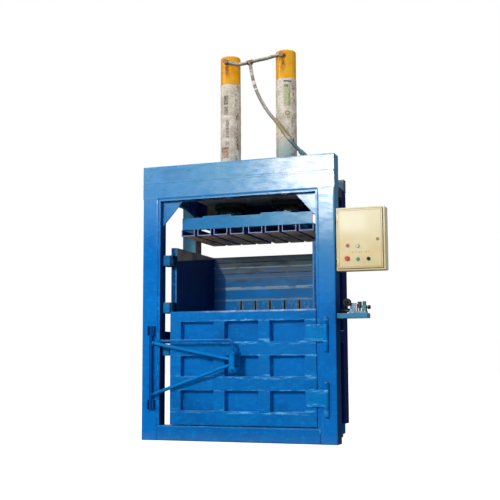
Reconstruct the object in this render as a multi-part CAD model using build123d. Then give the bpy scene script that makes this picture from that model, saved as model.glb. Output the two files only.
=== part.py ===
from build123d import *
import math
import os

# Vertical recycling baler: a welded portal press with a loading mouth over a hinged door.
# Millimetres. X is to the right, Y to the rear and Z up. The origin is on the floor, on the
# centre line of the front portal, in the plane of its front face.

# Rolled sections
tube_size = 140
tube_wall = 8
tube_round = 12
channel_wall = 8
channel_round = 6

# Baling chamber's clear width, which sets the width of the whole machine
chamber_w = 1194

# Front portal
post_set_out = 93
opening_top = 1995
cap_plate_t = 6
liner_t = 18
liner_depth = 110
liner_set_back = 8
gusset_x = 180
gusset_z = 205
gusset_t = 12

# Baling chamber
chamber_set_back = 36
chamber_depth = 861
base_h = 120
wall_t = 12
wall_top = 1598
wall_post_w = 50
wall_post_d = 60
plank_margin = 9
strap_gap = 24
middle_gap = 40
floor_plank_h = 53
back_slot_w = 16
back_slot_pitch = 140
back_slot_centre = 20
back_slot_top = 1186
back_slot_bottom = 260
seam_r = 5
seam_heights = (1495, 1442, 1398, 1303)
wall_rib_w = 100
wall_rib_d = 48
wall_rib_heights = (420, 1240)
rear_rib_low = 60
rear_rib_middle = 1250
strap_guide_w = 60
strap_guide_d = 44
strap_guide_wall = 5
strap_guide_gap = 14

# Ties between the portal and the chamber
tie_heights = (733, 1084, 1479)
tie_front = 70
tie_h = 92
spacer_w = 88

# Base
rail_set_out = 25
rail_w = 120
cross_w = 100
rail_end_overhang = 63

# Press columns and head
column_w = 130
column_set_back = 446
column_d = 140
column_rise = 95
girder_d = 72
girder_drop = 175
girder_t = 25
girder_rise = 100
side_rail_w = 60
side_rail_h = 100
side_rail_low = 790
side_rail_rise = 10
carrier_w = 940
carrier_rise = 15
carrier_t = 25
carrier_rail_w = 60
carrier_rail_h = 140

# Cylinders
cylinder_x = 260
cylinder_set_back = 414
cylinder_od = 178
bore_d = 150
cylinder_h = 1336
cap_h = 106
cap_round = 14
hole_clearance = 2
flange_od = 284
flange_t = 40
gland_od = 200
gland_drop = 35
gland_h = 110
flange_bolt_d = 20
flange_bolt_count = 8
flange_bolt_circle = 244
wrap_t = 1
wrap_gap = 5
wrap_set_down = 259
port_d = 50
port_set_down = (64.1, 55.9)

# Ram plate, rods and travel
ram_set_down = 308
ram_set_back = 78
ram_depth = 747
ram_plank_h = 57
ram_beam_h = 100
ram_beam_d = 48
ram_beam_set_in = 17
ram_rib_offset = 75
rod_d = 100
rod_fit = 0.08
rod_foot_d = 210
rod_foot_t = 25
rod_plate_w = 260
rod_plate_t = 12
piston_h = 80
piston_fit = 0.08
piston_set_down = 196

# Door
door_set_in = 23
door_side_gap = 4
door_bottom = 130
door_top = 1045
door_d = 160
door_face_d = 66
door_panel_t = 10
stile_w = 94
top_rail_h = 84
rail_h = 112

# Door hinges
pin_set_in = 82
pin_y = -22
pin_d = 24
pin_fit = 0.08
barrel_d = 36
hinge_z = (213, 715)
pin_len = 256
pin_head_d = 34
pin_head_h = 8
leaf_offset = 73
leaf_h = 132
leaf_t = 16
leaf_lap = 80
leaf_gap = 0.3
knuckle_base_w = 36

# Door latch
latch_x = 8
latch_y = -92
latch_z = 570
lug_t = 22
lug_w = 62
lug_front = -122
latch_open = 101
latch_play = 0.3
knuckle_d = 58
latch_pin_d = 25
latch_pin_fit = 0.08
latch_pin_tail = 12
collar_d = 44
collar_h = 10
handle_z = 804
handle_d = 22
handle_bend = 40
handle_gap = 118
yoke_set_in = 97
yoke_y = -26.3
yoke_d = 32
yoke_bottom = 253
yoke_top = 928
arm_d = 28
arm_root_z = (366, 794)
arm_tip_z = (614, 655)
keeper_h = 78
keeper_t = 10
keeper_play = 4
keeper_front = -46

# Control box
box_stand_off = 6
box_w = 385
box_set_down = 658
box_h = 494
box_front = 22
box_d = 118
box_wall = 2
box_rim = 20
box_door_w = 351
box_door_h = 462
box_door_t = 14
box_door_wall = 2
box_gap = 1
box_pin_d = 6
box_pin_fit = 0.08
box_eye_d = 12
box_eye_h = 40
bracket_t = 6
button_steps = ((93, 193), (173, 186), (89, 92), (174, 85), (256, 85))
button_hole_d = 22
bezel_d = 30
bezel_t = 4
button_travel = 4
stem_d = 16
stem_fit = 0.1
stem_len = 20
mushroom_d = 38
lock_step = (330, 235)
lock_d = 20
device_plate_inset = 30
device_plate_t = 3
device_post_h = 12
device_post_d = 12
device_post_inset = 20
relay_w = 56
relay_h = 90
relay_d = 52
relay_left = 75
relay_pitch = 75
relay_z = 230
terminal_inset = 60
terminal_z = 70
terminal_h = 40
terminal_d = 30

# Valve shelf
shelf_w = 240
shelf_top = 1006
shelf_h = 38
shelf_front = 20
shelf_t = 4
valve_y = 82
valve_half_d = 30
manifold_step = (88, 226)
manifold_h = 16
valve_step = (98, 140)
valve_h = 80
coil_step = 170
coil_d = 32
coil_h = 48
relief_step = (190, 223)
knob_rise = 46
knob_d = 31
knob_w = 20
gauge_step = 81
gauge_y = 36
gauge_d = 62
gauge_rise = 84

# Hoses and pipes
hose_d = 30
tee_x = -33
tee_set_front = 122
tee_set_down = 94
tee_tilt = 8
tee_d = 40
tee_reach = 24
tee_run = 60
tee_drop = 90
elbow_reach = 23
elbow_d = 44
hose_left_step = (-144.6, -3)
hose_right_steps = ((150, 15.5), (209, 28.5))
hose_branch_steps = ((46, -1, -230), (94, -7, -344), (169, -16, -469), (249, -28, -564),
                     (320, -46, -671), (386, -80, -750), (454, -125, -826), (501, -158, -874))
ferrule_d = 42
ferrule_len = 75
riser_d = 34
riser_bend = 60
riser_block_w = 64
riser_block_rise = (155, 221)
pipe_d = 22
pipe_bend = 30
pipe_set_in = 42
pipe_stand_off = 28
clamp_set_down = (745, 435, 125)

# Places worked out from the sizes above
half_chamber = chamber_w / 2
post_inner = half_chamber + post_set_out
half_portal = post_inner + tube_size
portal_w = 2 * half_portal
liner_inner = post_inner - liner_t
chamber_front = tube_size + chamber_set_back
chamber_back = chamber_front + chamber_depth
wall_outer = half_chamber + wall_t
plank_w = (chamber_w - 2 * plank_margin - 6 * strap_gap - middle_gap) / 8
floor_top = base_h + floor_plank_h
rail_outer = half_chamber + rail_set_out
column_inner = wall_outer
column_front = chamber_front + column_set_back
column_top = opening_top + column_rise
side_rail_z = (side_rail_low, opening_top + side_rail_rise)
column_outer = column_inner + column_w
column_back = column_front + column_d
girder_front = column_back - girder_d
plate_front = column_back - girder_t
carrier_z = opening_top + carrier_rise
carrier_top = carrier_z + carrier_t
cylinder_top = carrier_z + cylinder_h
wrap_bottom = carrier_top + wrap_gap
wrap_top = cylinder_top - wrap_set_down
port_heights = tuple(cylinder_top - step for step in port_set_down)
piston_z = cylinder_top - piston_set_down
ram_bottom = carrier_z - ram_set_down
ram_beam_w = chamber_w - 2 * ram_beam_set_in
ram_front = chamber_front + ram_set_back
cylinder_y = chamber_front + cylinder_set_back
tee_y = cylinder_y - tee_set_front
ram_back = ram_front + ram_depth
ram_plank_top = ram_bottom + ram_plank_h
ram_beam_top = ram_plank_top + ram_beam_h
rod_plate_top = ram_beam_top + rod_plate_t
door_left = -half_chamber + door_set_in
door_right = liner_inner - door_side_gap
door_w = door_right - door_left
door_h = door_top - door_bottom
pin_x = half_portal - pin_set_in
leaf_left = door_right - leaf_lap
yoke_x = -half_portal + yoke_set_in
handle_left = yoke_x + handle_gap
box_left = half_portal + box_stand_off
box_bottom = opening_top - box_set_down
box_right = box_left + box_w
box_top = box_bottom + box_h
box_back = box_front + box_d
button_xz = [(box_left + x, box_bottom + z) for x, z in button_steps]
lock_xz = (box_left + lock_step[0], box_bottom + lock_step[1])
shelf_left = half_portal
manifold_x = [shelf_left + step for step in manifold_step]
valve_x = [shelf_left + step for step in valve_step]
relief_x = [shelf_left + step for step in relief_step]
coil_x = shelf_left + coil_step
gauge_x = shelf_left + gauge_step
pipe_x = half_portal - pipe_set_in
pipe_y = tube_size + pipe_stand_off
clamp_heights = [opening_top - step for step in clamp_set_down]
riser_block_z = [opening_top + step for step in riser_block_rise]
tee_z = cylinder_top - tee_set_down
door_panel_back = door_face_d + door_panel_t

nodes = {}


def keep(name, *solids):
    """Collect the solids of one node under its name."""
    nodes.setdefault(name, []).extend(solids)


def block(x0, x1, y0, y1, z0, z1):
    """A plate or block between two opposite corners."""
    size = Box(x1 - x0, y1 - y0, z1 - z0)
    return Pos((x0 + x1) / 2, (y0 + y1) / 2, (z0 + z1) / 2) * size


def along(profile, start, heading, across, length):
    """Run a profile from a start point along a heading; across is the profile's own x axis."""
    return extrude(Plane(origin=start, x_dir=across, z_dir=heading) * profile, length)


def tube_profile(width, height, wall, round_r):
    """A rectangular hollow section with rolled corners."""
    inner_r = max(round_r - wall, 1)
    outer = RectangleRounded(width, height, round_r)
    return outer - RectangleRounded(width - 2 * wall, height - 2 * wall, inner_r)


def channel_profile(width, height, wall):
    """A channel with its web on the profile's x axis and its flanges standing up from it."""
    outer = Rectangle(width, height, align=(Align.CENTER, Align.MIN))
    hollow = RectangleRounded(width - 2 * wall, 2 * height, channel_round)
    return outer - Pos(0, wall + height) * hollow


def rod_between(start, end, diameter):
    """A round bar from one point to another."""
    line = Line(start, end)
    return sweep(Plane(origin=start, z_dir=line % 0) * Circle(diameter / 2), path=line)


def bent_bar(points, radii, diameter):
    """A round bar or pipe along straight runs joined by tangent arcs."""
    path = FilletPolyline(*points, radius=radii)
    return sweep(Plane(origin=points[0], z_dir=path % 0) * Circle(diameter / 2), path=path)


def ring(x, y, z0, z1, outer_d, inner_d):
    """An upright sleeve."""
    height = z1 - z0
    centre = Pos(x, y, (z0 + z1) / 2)
    return centre * (Cylinder(outer_d / 2, height) - Cylinder(inner_d / 2, height))


def plank_centres():
    """Across the chamber: eight planks with strap gaps, and a wider gap in the middle."""
    pitch = plank_w + strap_gap
    first = middle_gap / 2 + plank_w / 2
    right = [first + pitch * i for i in range(4)]
    return [-x for x in reversed(right)] + right


def make_portal():
    """The front portal: two posts, a head of two stacked tubes, the sill and the opening's liner."""
    tube = tube_profile(tube_size, tube_size, tube_wall, tube_round)
    middle_y = tube_size / 2
    for side in (-1, 1):
        start = (side * (half_portal - tube_size / 2), middle_y, 0)
        keep("front_posts", along(tube, start, (0, 0, 1), (1, 0, 0), opening_top))
    beam_len = portal_w - 2 * cap_plate_t
    for level in (0, 1):
        z = opening_top + tube_size * (level + 0.5)
        start = (-beam_len / 2, middle_y, z)
        keep("head_beams", along(tube, start, (1, 0, 0), (0, 1, 0), beam_len))
        lid = extrude(Plane.YZ * RectangleRounded(tube_size, tube_size, tube_round), cap_plate_t)
        keep("head_beam_caps", Pos(beam_len / 2, middle_y, z) * lid)
        keep("head_beam_caps", Pos(-half_portal, middle_y, z) * lid)
    sill = tube_profile(tube_size, base_h, tube_wall, tube_round)
    start = (-post_inner, middle_y, base_h / 2)
    keep("sill", along(sill, start, (1, 0, 0), (0, 1, 0), 2 * post_inner))

    y0 = liner_set_back
    y1 = liner_set_back + liner_depth
    liner_top = opening_top - liner_t
    mitre = Polyline(
        (liner_inner, base_h), (post_inner, base_h), (post_inner, opening_top),
        (liner_inner, liner_top), close=True)
    upright = extrude(Plane(origin=(0, y0, 0), x_dir=(1, 0, 0), z_dir=(0, -1, 0))
                      * make_face(mitre), -(y1 - y0))
    keep("opening_liner", upright, mirror(upright, about=Plane.YZ))
    head = Polyline(
        (-post_inner, opening_top), (post_inner, opening_top),
        (liner_inner, liner_top), (-liner_inner, liner_top), close=True)
    keep("opening_liner", extrude(Plane(origin=(0, y0, 0), x_dir=(1, 0, 0), z_dir=(0, -1, 0))
                                  * make_face(head), -(y1 - y0)))

    corner = Polyline(
        (liner_inner, liner_top), (liner_inner - gusset_x, liner_top),
        (liner_inner, liner_top - gusset_z), close=True)
    web_front = middle_y - gusset_t / 2
    gusset = extrude(Plane(origin=(0, web_front, 0), x_dir=(1, 0, 0), z_dir=(0, -1, 0))
                     * make_face(corner), -gusset_t)
    keep("opening_liner", gusset, mirror(gusset, about=Plane.YZ))


def make_base():
    """Two base rails, the cross members under the floor and the feet of the columns."""
    rail = tube_profile(rail_w, base_h, tube_wall, tube_round)
    rail_len = chamber_back + rail_end_overhang - tube_size
    rail_inner = rail_outer - rail_w
    for side in (-1, 1):
        start = (side * (rail_outer - rail_w / 2), tube_size + rail_len, base_h / 2)
        keep("base_frame", along(rail, start, (0, -1, 0), (1, 0, 0), rail_len))
    cross = tube_profile(cross_w, base_h, tube_wall, tube_round)
    last = tube_size + rail_len - cross_w
    for y in (chamber_front, (chamber_front + last) / 2, last):
        start = (-rail_inner, y + cross_w / 2, base_h / 2)
        keep("base_frame", along(cross, start, (1, 0, 0), (0, 1, 0), 2 * rail_inner))
    foot_out = column_outer - rail_outer - 54
    for side in (-1, 1):
        low, high = sorted((side * rail_outer, side * (rail_outer + foot_out)))
        keep("base_frame", block(low, high, column_front, column_back, 0, base_h))


def make_chamber():
    """Side walls, back wall with strap slots, floor planks and the outside ribs."""
    rib = channel_profile(wall_rib_w, wall_rib_d, channel_wall)
    for side in (-1, 1):
        low, high = sorted((side * half_chamber, side * wall_outer))
        keep("chamber_side_walls", block(low, high, chamber_front, chamber_back, base_h, wall_top))
        for z in wall_rib_heights:
            rear = (side * (wall_outer + wall_rib_d), chamber_back, z)
            rib_len = chamber_back - column_back
            keep("wall_ribs", along(rib, rear, (0, -1, 0), (0, 0, side), rib_len))
    post_back = chamber_front + wall_post_d
    for x0, x1 in ((-half_chamber - wall_post_w, -wall_outer), (wall_outer, liner_inner)):
        keep("wall_ribs", block(x0, x1, chamber_front, post_back, base_h, wall_top))

    # The back wall is a low plate and a high plate, with strips between that leave the slots.
    wall_back = chamber_back + wall_t
    low_plate = block(-wall_outer, wall_outer, chamber_back, wall_back, base_h, back_slot_bottom)
    keep("chamber_wall_back", low_plate)
    slot_places = [back_slot_centre + back_slot_pitch * (i - 2.5) for i in range(6)]
    lefts = [-wall_outer] + [x + back_slot_w / 2 for x in slot_places]
    rights = [x - back_slot_w / 2 for x in slot_places] + [wall_outer]
    for left, right in zip(lefts, rights):
        strip = block(left, right, chamber_back, wall_back, back_slot_bottom, back_slot_top)
        keep("chamber_wall_back", strip)
    back = block(-wall_outer, wall_outer, chamber_back, wall_back, back_slot_top, wall_top)
    for z in seam_heights:
        bead = Pos(0, chamber_back, z) * (Rot(0, 90, 0) * Cylinder(seam_r, 2 * half_chamber))
        back += bead - block(-wall_outer, wall_outer, chamber_back + wall_t,
                             chamber_back + 2 * wall_t, z - seam_r, z + seam_r)
    keep("chamber_wall_back", back)
    rear_rib = channel_profile(wall_rib_w, wall_rib_d, channel_wall)
    for z in (base_h + rear_rib_low, rear_rib_middle, wall_top - wall_rib_w / 2):
        start = (-wall_outer, chamber_back + wall_t + wall_rib_d, z)
        keep("wall_ribs", along(rear_rib, start, (1, 0, 0), (0, 0, 1), 2 * wall_outer))
    guide = channel_profile(strap_guide_w, strap_guide_d, strap_guide_wall)
    guide_low = base_h + rear_rib_low + wall_rib_w / 2 + strap_guide_gap
    guide_len = rear_rib_middle - wall_rib_w / 2 - guide_low
    guide_back = chamber_back + wall_t + strap_guide_d
    for x in slot_places:
        keep("strap_guides", along(guide, (x, guide_back, guide_low), (0, 0, 1), (-1, 0, 0),
                                   guide_len))

    plank = channel_profile(plank_w, floor_plank_h, channel_wall)
    for x in plank_centres():
        keep("floor_planks", along(plank, (x, chamber_front, floor_top), (0, 1, 0),
                                   (1, 0, 0), chamber_depth))


def make_ties():
    """Stubs from the left post to the chamber, spacers at the right post, and the side rails."""
    stub_back = chamber_front
    section = tube_profile(stub_back - tie_front, tie_h, tube_wall, tube_round)
    spacer = tube_profile(chamber_front + wall_post_d - tube_size, tie_h, tube_wall, tube_round)
    y = (tie_front + stub_back) / 2
    stub_len = liner_inner - half_chamber + 8
    for z in tie_heights:
        keep("portal_ties", along(section, (-liner_inner, y, z), (1, 0, 0), (0, 1, 0), stub_len))
        spacer_mid = (tube_size + chamber_front + wall_post_d) / 2
        keep("portal_ties", along(spacer, (liner_inner, spacer_mid, z), (1, 0, 0), (0, 1, 0),
                                spacer_w))
    rail = tube_profile(side_rail_w, side_rail_h, tube_wall, tube_round)
    for side in (-1, 1):
        for z in side_rail_z:
            start = (side * (column_outer - side_rail_w / 2), tube_size, z + side_rail_h / 2)
            keep("portal_ties", along(rail, start, (0, 1, 0), (1, 0, 0),
                                     column_front - tube_size))


def make_head():
    """Columns beside the chamber, the deep girder behind the cylinders and their carrier."""
    column = tube_profile(column_w, column_d, tube_wall, tube_round)
    column_y = (column_front + column_back) / 2
    for side in (-1, 1):
        start = (side * (column_inner + column_w / 2), column_y, base_h)
        keep("rear_columns", along(column, start, (0, 0, 1), (1, 0, 0), column_top - base_h))
    keep("rear_girders", block(-column_inner, column_inner, plate_front, column_back,
                               column_top - girder_drop, column_top))
    upper = tube_profile(girder_d, girder_rise, tube_wall, tube_round)
    start = (-column_outer, girder_front + girder_d / 2, column_top + girder_rise / 2)
    keep("rear_girders", along(upper, start, (1, 0, 0), (0, 1, 0), 2 * column_outer))

    plate = block(-carrier_w / 2, carrier_w / 2, tube_size, plate_front, carrier_z, carrier_top)
    for side in (-1, 1):
        hole = Cylinder(cylinder_od / 2 + hole_clearance, 4 * carrier_t)
        plate -= Pos(side * cylinder_x, cylinder_y, carrier_z) * hole
        bolts = flange_bolt_places(side)
        for x, y in bolts:
            plate -= Pos(x, y, carrier_z) * Cylinder(flange_bolt_d / 2 + 1, 4 * carrier_t)
    keep("carrier_plate", plate)
    rib = channel_profile(carrier_rail_h, carrier_rail_w, channel_wall)
    reach = flange_od / 2
    for side in (-1, 1):
        for lean in (-1, 1):
            x = side * cylinder_x + lean * reach
            start = (x, tube_size, carrier_top + carrier_rail_h / 2)
            keep("carrier_rails", along(rib, start, (0, 1, 0), (0, 0, lean),
                                        girder_front - tube_size))


def flange_bolt_places(side):
    """Bolt circle of one cylinder flange."""
    radius = flange_bolt_circle / 2
    turn = 2 * math.pi / flange_bolt_count
    places = []
    for i in range(flange_bolt_count):
        angle = turn * (i + 0.5)
        x = side * cylinder_x + radius * math.cos(angle)
        places.append((x, cylinder_y + radius * math.sin(angle)))
    return places


def make_cylinders():
    """Tube with its flange, gland, blind cap with the hose port, bolts and the paper wrap."""
    tube_bottom = carrier_z - flange_t
    tube_top = cylinder_top - cap_h
    for side, port_z in zip((-1, 1), port_heights):
        x = side * cylinder_x
        barrel = ring(x, cylinder_y, tube_bottom, tube_top, cylinder_od, bore_d)
        flange = ring(x, cylinder_y, tube_bottom, carrier_z, flange_od, bore_d)
        for bx, by in flange_bolt_places(side):
            flange -= Pos(bx, by, carrier_z) * Cylinder(flange_bolt_d / 2 + 1, 4 * flange_t)
        keep("cylinder_tubes", barrel + flange)

        cap = Pos(x, cylinder_y, tube_top + cap_h / 2) * Cylinder(cylinder_od / 2, cap_h)
        top_edge = cap.edges().filter_by(GeomType.CIRCLE).sort_by(Axis.Z)[-1]
        cap = fillet(top_edge, cap_round)
        boss_front = cylinder_y - cylinder_od / 2 - 6
        boss = Pos(x, boss_front, port_z) * (Rot(-90, 0, 0) * Cylinder(
            port_d / 2, 50, align=(Align.CENTER, Align.CENTER, Align.MIN)))
        keep("cylinder_caps", cap + boss)

        gland = ring(x, cylinder_y, tube_bottom - gland_drop, tube_bottom, gland_od,
                     rod_d + 2 * rod_fit)
        sleeve = ring(x, cylinder_y, tube_bottom, tube_bottom + gland_h - gland_drop,
                      bore_d, rod_d + 2 * rod_fit)
        keep("cylinder_glands", gland + sleeve)

        keep("cylinder_wraps", ring(x, cylinder_y, wrap_bottom, wrap_top,
                                    cylinder_od + 2 * wrap_t, cylinder_od))
        for bx, by in flange_bolt_places(side):
            keep("flange_bolts", flange_bolt(bx, by))


def flange_bolt(x, y):
    """A hexagon bolt up through flange and carrier, with its nut on the carrier."""
    head_h = 13
    nut_h = 16
    shank_top = carrier_top + nut_h + 6
    low = carrier_z - flange_t
    head = extrude(RegularPolygon(1.5 * flange_bolt_d / 2 / math.cos(math.pi / 6), 6), -head_h)
    shank = Cylinder(flange_bolt_d / 2, shank_top - low,
                     align=(Align.CENTER, Align.CENTER, Align.MIN))
    nut = Pos(0, 0, carrier_top - low) * extrude(
        RegularPolygon(1.5 * flange_bolt_d / 2 / math.cos(math.pi / 6), 6), nut_h)
    return Pos(x, y, low) * (head + shank + nut)


def make_ram():
    """Ram plate of eight open channels under two cross beams, with its ribs, plates and rods."""
    plank = channel_profile(plank_w, ram_plank_h, channel_wall)
    for x in plank_centres():
        keep("ram_planks", along(plank, (x, ram_back, ram_bottom), (0, -1, 0),
                                 (1, 0, 0), ram_depth))
    beam = channel_profile(ram_beam_h, ram_beam_d, channel_wall)
    middle_z = ram_plank_top + ram_beam_h / 2
    keep("ram_frame", along(beam, (-ram_beam_w / 2, ram_front, middle_z), (1, 0, 0),
                            (0, 0, -1), ram_beam_w))
    keep("ram_frame", along(beam, (-ram_beam_w / 2, ram_back, middle_z), (1, 0, 0),
                            (0, 0, 1), ram_beam_w))
    rib = channel_profile(ram_beam_h, ram_beam_d, channel_wall)
    rib_start = ram_front + ram_beam_d
    rib_len = ram_depth - 2 * ram_beam_d
    for side in (-1, 1):
        for lean in (-1, 1):
            x = side * cylinder_x + lean * ram_rib_offset
            keep("ram_frame", along(rib, (x, rib_start, middle_z), (0, 1, 0),
                                    (0, 0, lean), rib_len))
        x = side * cylinder_x
        plate = block(x - rod_plate_w / 2, x + rod_plate_w / 2, ram_front, ram_back,
                      ram_beam_top, rod_plate_top)
        keep("rod_plates", plate)
    for side in (-1, 1):
        x = side * cylinder_x
        foot = Pos(x, cylinder_y, rod_plate_top + rod_foot_t / 2) * Cylinder(
            rod_foot_d / 2, rod_foot_t)
        rod_len = piston_z + piston_h - rod_plate_top
        rod = Pos(x, cylinder_y, rod_plate_top + rod_len / 2) * Cylinder(rod_d / 2, rod_len)
        piston = Pos(x, cylinder_y, piston_z + piston_h / 2) * Cylinder(
            bore_d / 2 - piston_fit, piston_h)
        keep("ram_rods", foot + rod + piston)


def door_rows():
    """Bottom and top of the three rows of panels, from the top row down."""
    panel_h = (door_h - top_rail_h - 3 * rail_h) / 3
    rows = []
    top = door_top - top_rail_h
    for _ in range(3):
        rows.append((top - panel_h, top))
        top -= panel_h + rail_h
    return rows


def make_door():
    """Grid of channels on a panel, with strap channels on the chamber side."""
    rail_depth = door_face_d
    rows = door_rows()
    bands = [(rows[0][1], door_top)]
    bands += [(rows[i + 1][1], rows[i][0]) for i in range(2)]
    bands.append((door_bottom, rows[2][0]))
    for low, high in bands:
        rail = channel_profile(high - low, rail_depth, channel_wall)
        keep("door_rails", along(rail, (door_left, 0, (low + high) / 2), (1, 0, 0),
                                 (0, 0, -1), door_w))
    stile = channel_profile(stile_w, rail_depth, channel_wall)
    pitch = (door_w - stile_w) / 3
    for column in range(4):
        x = door_left + stile_w / 2 + pitch * column
        for low, high in rows:
            keep("door_stiles", along(stile, (x, 0, low), (0, 0, 1), (1, 0, 0), high - low))
    keep("door_panel", block(door_left, door_right, door_face_d, door_panel_back,
                             door_bottom, door_top))
    depth = door_d - door_panel_back
    edges = []
    for x in plank_centres():
        edges.append((max(x - plank_w / 2, door_left), x + plank_w / 2))
    edges.append((edges[-1][1] + strap_gap, door_right))
    for left, right in edges:
        strip = channel_profile(right - left, depth, channel_wall)
        keep("door_strap_channels", along(strip, ((left + right) / 2, door_d, door_bottom),
                                          (0, 0, 1), (-1, 0, 0), door_h))


def barrel_with_base(z0, z1):
    """Fixed hinge barrel: a bored sleeve on a pad welded to the post."""
    pad = block(pin_x - knuckle_base_w / 2, pin_x + knuckle_base_w / 2, pin_y, 0, z0, z1)
    sleeve = Pos(pin_x, pin_y, (z0 + z1) / 2) * Cylinder(barrel_d / 2, z1 - z0)
    bore = Pos(pin_x, pin_y, (z0 + z1) / 2) * Cylinder(pin_d / 2 + pin_fit, 2 * (z1 - z0))
    return pad + sleeve - bore


def make_hinges():
    """Two strap hinges: a leaf with an eye on the door, barrels on the post and a headed pin."""
    for z in hinge_z:
        leaf_z0 = z + leaf_offset
        leaf_z1 = leaf_z0 + leaf_h
        plate = block(leaf_left, pin_x - 6, -leaf_t, 0, leaf_z0, leaf_z1)
        corner = plate.edges().filter_by(Axis.Y).sort_by(Axis.X)[:2]
        plate = chamfer(corner, 12)
        middle = (leaf_z0 + leaf_z1) / 2
        eye = Pos(pin_x, pin_y, middle) * Cylinder(barrel_d / 2, leaf_h)
        bore = Pos(pin_x, pin_y, middle) * Cylinder(pin_d / 2 + pin_fit, 2 * leaf_h)
        keep("hinge_leaves", plate + eye - bore)
        keep("hinge_barrels", barrel_with_base(z, leaf_z0 - leaf_gap))
        keep("hinge_barrels", barrel_with_base(leaf_z1 + leaf_gap, z + pin_len))
        pin = Pos(pin_x, pin_y, z + pin_len / 2) * Cylinder(pin_d / 2, pin_len)
        head = Pos(pin_x, pin_y, z + pin_len + pin_head_h / 2) * Cylinder(
            pin_head_d / 2, pin_head_h)
        top_edge = head.edges().filter_by(GeomType.CIRCLE).sort_by(Axis.Z)[-1]
        keep("hinge_pins", pin + fillet(top_edge, 3))


def make_latch():
    """Catch lugs on the door, the three-bar arm with its yoke, the drop pin and the keepers."""
    lug_x0 = latch_x - lug_w / 2
    lug_x1 = latch_x + lug_w / 2
    upper_z = latch_z + lug_t + latch_open
    catch = block(lug_x0, lug_x1, -8, 0, latch_z, upper_z + lug_t)
    rail_bottom = door_rows()[0][0] - rail_h
    catch += block(latch_x - 12, latch_x + 12, 0, door_face_d, latch_z, rail_bottom)
    for z in (latch_z, upper_z):
        lug = block(lug_x0, lug_x1, lug_front, -8, z, z + lug_t)
        nose = lug.edges().filter_by(Axis.Z).sort_by(Axis.Y)[:2]
        catch += fillet(nose, 20)
    bore = Cylinder(latch_pin_d / 2 + latch_pin_fit, 600)
    keep("latch_catch", catch - Pos(latch_x, latch_y, latch_z) * bore)

    knuckle_z0 = latch_z + lug_t + latch_play
    knuckle_z1 = upper_z - latch_play
    arm = Pos(latch_x, latch_y, (knuckle_z0 + knuckle_z1) / 2) * Cylinder(
        knuckle_d / 2, knuckle_z1 - knuckle_z0)
    yoke = Pos(yoke_x, yoke_y, (yoke_bottom + yoke_top) / 2) * Cylinder(
        yoke_d / 2, yoke_top - yoke_bottom)
    arm += yoke
    for root, tip in zip(arm_root_z, arm_tip_z):
        arm += rod_between((yoke_x, yoke_y, root), (latch_x - 14, latch_y, tip), arm_d)
    arm -= Pos(latch_x, latch_y, latch_z) * bore
    keep("latch_arm", arm)

    tail = latch_z - latch_pin_tail
    collar_z = upper_z + lug_t
    pin_path = [(latch_x, latch_y, tail), (latch_x, latch_y, handle_z),
                (handle_left, latch_y, handle_z)]
    handle = bent_bar(pin_path, handle_bend, handle_d)
    thick = Pos(latch_x, latch_y, (tail + collar_z) / 2) * Cylinder(
        latch_pin_d / 2, collar_z - tail)
    collar = Pos(latch_x, latch_y, collar_z + collar_h / 2) * Cylinder(collar_d / 2, collar_h)
    keep("latch_pin", handle + thick + collar)

    cheek = yoke_d / 2 + keeper_play
    for z0 in (yoke_bottom - 2, yoke_top + 2 - keeper_h):
        x0 = yoke_x - cheek - keeper_t
        x1 = yoke_x + cheek + keeper_t
        keeper = block(x0, x1, keeper_front, 0, z0, z0 + keeper_h)
        keeper -= block(yoke_x - cheek, yoke_x + cheek, keeper_front - 1, -keeper_t,
                        z0 - 1, z0 + keeper_h + 1)
        mouth = keeper.edges().filter_by(Axis.Z).sort_by(Axis.Y)[:4]
        keep("latch_keepers", chamfer(mouth, 3))


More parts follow.
